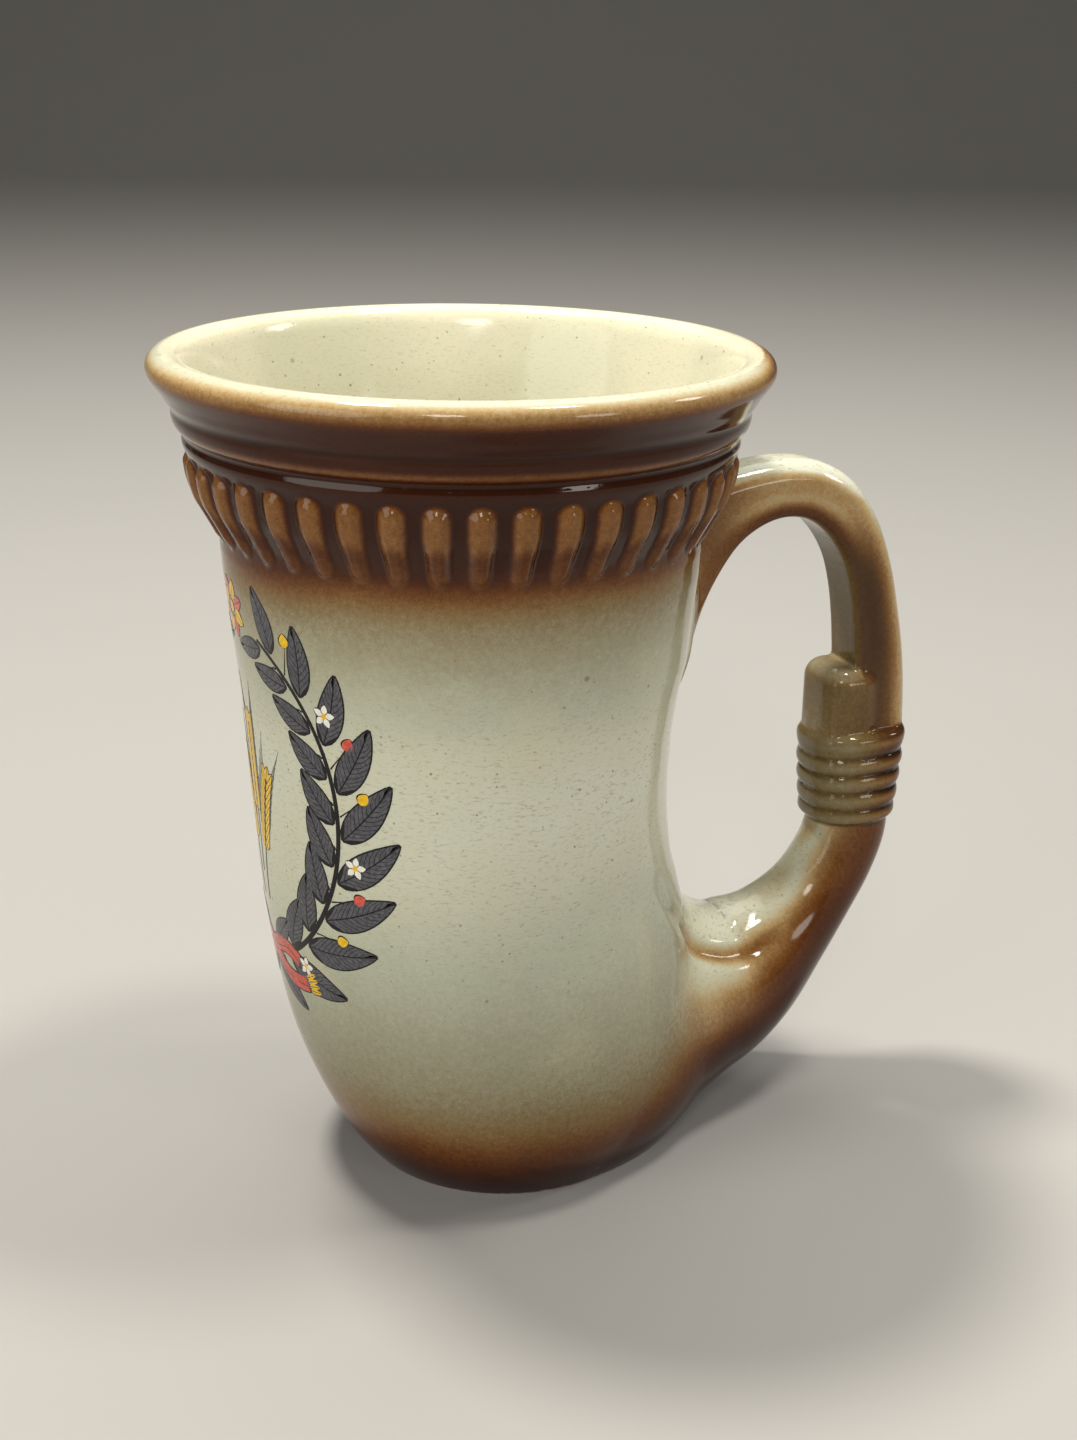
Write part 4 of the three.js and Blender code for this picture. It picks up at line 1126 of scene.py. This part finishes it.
def print_pieces():
    """Each ink as closed wafers that follow the ware, a few hundredths of a millimetre proud."""
    heights = {"print_black": (-0.14, 0.035), "print_slate": (-0.09, 0.055), "print_gold": (-0.09, 0.058), "print_red": (-0.09, 0.056), "print_white": (-0.09, 0.057)}
    pieces = []
    for ink, grids in PRINT.items():
        flat = np.concatenate([g.reshape(-1, 2) for g in grids])
        th = math.pi + flat[:, 0] / PRINT_R
        P = np.stack([39.0 * np.cos(th), 39.0 * np.sin(th), flat[:, 1]], 1)
        for _ in range(4):
            f = field(P[:, 0], P[:, 1], P[:, 2])
            out = np.stack([np.cos(th), np.sin(th), np.zeros(len(P))], 1)
            slope = (field(*(P + 0.05 * out).T) - f) / 0.05
            P = P - (f / np.maximum(slope, 0.3))[:, None] * out
        g = gradient(P)
        nrm = g / np.linalg.norm(g, axis=1)[:, None]
        low, high = heights[ink]
        verts, normals, faces, base = [], [], [], 0
        for grid in grids:
            r, c = grid.shape[:2]
            n = r * c
            sl = slice(base // 2, base // 2 + n)
            a, b, c2, d = (grid[0, 0], grid[1, 0], grid[1, 1], grid[0, 1])
            turn = np.cross(b - a, d - a) < 0
            idx = np.arange(n).reshape(r, c)
            if turn:
                idx = idx[:, ::-1]
            q = np.stack([idx[:-1, :-1], idx[:-1, 1:], idx[1:, 1:], idx[1:, :-1]], -1).reshape(-1, 4)
            rim = np.concatenate([idx[0, :], idx[1:, -1], idx[-1, -2::-1], idx[-2:0:-1, 0]])
            nxt = np.roll(rim, -1)
            verts += [P[sl] + high * nrm[sl], P[sl] + low * nrm[sl]]
            normals += [nrm[sl], -nrm[sl]]
            faces += [q + base, q[:, ::-1] + n + base, np.stack([nxt, rim, rim + n, nxt + n], 1) + base]
            base += 2 * n
        verts, normals, faces = np.concatenate(verts), np.concatenate(normals), np.concatenate(faces)
        # make sure that the tops look outwards
        tri = verts[faces[0]]
        if np.dot(np.cross(tri[1] - tri[0], tri[2] - tri[0]), normals[faces[0][0]]) < 0:
            faces = faces[:, ::-1]
        ob = new_mesh(ink, verts, faces, normals)
        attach(ob, "root")
        pieces.append(ob)
    return pieces


def ink_paint(name, light, dark, grain=1400.0):
    m, nt, bsdf = tree(name)
    pos = add(nt, "ShaderNodeTexCoord").outputs["Object"]
    n1 = add(nt, "ShaderNodeTexNoise", {"Vector": pos, "Scale": grain, "Detail": 3.0, "Roughness": 0.65}).outputs["Fac"]
    n2 = add(nt, "ShaderNodeTexNoise", {"Vector": pos, "Scale": 160.0, "Detail": 2.0}).outputs["Fac"]
    c = mix_color(nt, map_range(nt, n1, 0.35, 0.65), (*light, 1), (*dark, 1))
    c = mix_color(nt, map_range(nt, n2, 0.4, 0.7, 0.0, 0.35), c, (*dark, 1))
    nt.links.new(c, bsdf.inputs["Base Color"])
    nt.links.new(map_range(nt, n2, 0.3, 0.7, 0.10, 0.17), bsdf.inputs["Roughness"])
    bsdf.inputs["IOR"].default_value = 1.45
    bsdf.inputs["Specular IOR Level"].default_value = 0.27
    return m


INKS = {
    "print_black": ink_paint("ink_black", (0.012, 0.011, 0.012), (0.006, 0.006, 0.007)),
    "print_slate": ink_paint("ink_slate", (0.100, 0.100, 0.112), (0.056, 0.056, 0.064)),
    "print_gold": ink_paint("ink_gold", (0.760, 0.500, 0.020), (0.600, 0.360, 0.014)),
    "print_red": ink_paint("ink_red", (0.600, 0.105, 0.070), (0.430, 0.060, 0.040)),
    "print_white": ink_paint("ink_white", (0.780, 0.760, 0.690), (0.660, 0.640, 0.570))}
for ob in print_pieces():
    ob.data.materials.append(INKS[ob.name])


# ---------------------------------------------------------------- floor, light, camera
def paint(name, color, rough):
    m, nt, bsdf = tree(name)
    pos = add(nt, "ShaderNodeTexCoord").outputs["Object"]
    n = add(nt, "ShaderNodeTexNoise", {"Vector": pos, "Scale": 8.0, "Detail": 3.0}).outputs["Fac"]
    c = mix_color(nt, n, (*[v * 0.97 for v in color], 1), (*color, 1))
    nt.links.new(c, bsdf.inputs["Base Color"])
    bsdf.inputs["Roughness"].default_value = rough
    return m


def backdrop():
    """Level floor that curves up far behind."""
    ys = np.r_[np.linspace(-3.0, 2.2, 14), 2.2 + 1.2 * np.sin(np.linspace(0.1, math.pi / 2, 12)), 3.4]
    zs = np.r_[np.zeros(14), 1.2 - 1.2 * np.cos(np.linspace(0.1, math.pi / 2, 12)), 4.0]
    xs = np.linspace(-4.5, 4.5, 10)
    a = math.radians(-19.0)
    verts = [((x * math.cos(a) - y * math.sin(a)) * 1000, (x * math.sin(a) + y * math.cos(a)) * 1000, z * 1000) for y, z in zip(ys, zs) for x in xs]
    n = len(xs)
    faces = np.array([(j * n + i, j * n + i + 1, (j + 1) * n + i + 1, (j + 1) * n + i) for j in range(len(ys) - 1) for i in range(n - 1)])
    ob = new_mesh("floor", verts, faces)
    ob.data.materials.append(paint("floor_paint", (0.31, 0.304, 0.293), 0.8))


backdrop()


def lamp(name, place, aim, size, power, color=(1, 1, 1)):
    d = bpy.data.lights.new(name, "AREA")
    d.shape = "DISK"
    d.size = size
    d.energy = power
    d.color = color
    ob = bpy.data.objects.new(name, d)
    ob.location = place
    ob.rotation_mode = "QUATERNION"
    ob.rotation_quaternion = (Vector(aim) - Vector(place)).to_track_quat("-Z", "Y")
    bpy.context.scene.collection.objects.link(ob)


target = (0.01, 0.0, 0.08)
lamp("overhead", (0.37, -0.14, 1.30), target, 0.22, 8.0, (1.0, 0.955, 0.865))
lamp("key", (-0.27, 0.29, 1.32), target, 0.22, 19.5, (1.0, 0.955, 0.865))
lamp("front", (-0.50, -1.08, 0.90), target, 0.34, 5.4, (1.0, 0.965, 0.90))
lamp("side", (1.0, -0.25, 0.72), target, 0.26, 3.3, (1.0, 0.95, 0.88))
lamp("low", (0.52, -1.0, 0.33), target, 0.30, 2.2, (1.0, 0.94, 0.88))
lamp("left", (-1.20, -0.42, 0.42), target, 1.0, 9.5, (1.0, 0.96, 0.90))
lamp("sky", (0.22, 0.50, 1.18), target, 0.9, 6.0, (1.0, 0.97, 0.91))
world = bpy.data.worlds.new("studio")
world.use_nodes = True
world.node_tree.nodes["Background"].inputs[0].default_value = (0.85, 0.82, 0.77, 1)
world.node_tree.nodes["Background"].inputs[1].default_value = 0.17
bpy.context.scene.world = world
bpy.context.scene.view_settings.view_transform = "Standard"

right = Vector((0.93332, -0.358744, 0.014714))
up = Vector((0.108038, 0.319685, 0.941344))
ahead = Vector((0.342405, 0.876986, -0.337126))
cam_data = bpy.data.cameras.new("camera")
cam_data.sensor_fit = "AUTO"
cam_data.sensor_width = 36.0
cam_data.lens = 50.0
cam_data.clip_start, cam_data.clip_end = 0.01, 50.0
cam = bpy.data.objects.new("camera", cam_data)
cam.matrix_world = Matrix((
    (right.x, up.x, -ahead.x, -0.110969), (right.y, up.y, -ahead.y, -0.322277), (right.z, up.z, -ahead.z, 0.206292), (0, 0, 0, 1)))
bpy.context.scene.collection.objects.link(cam)
bpy.context.scene.camera = cam
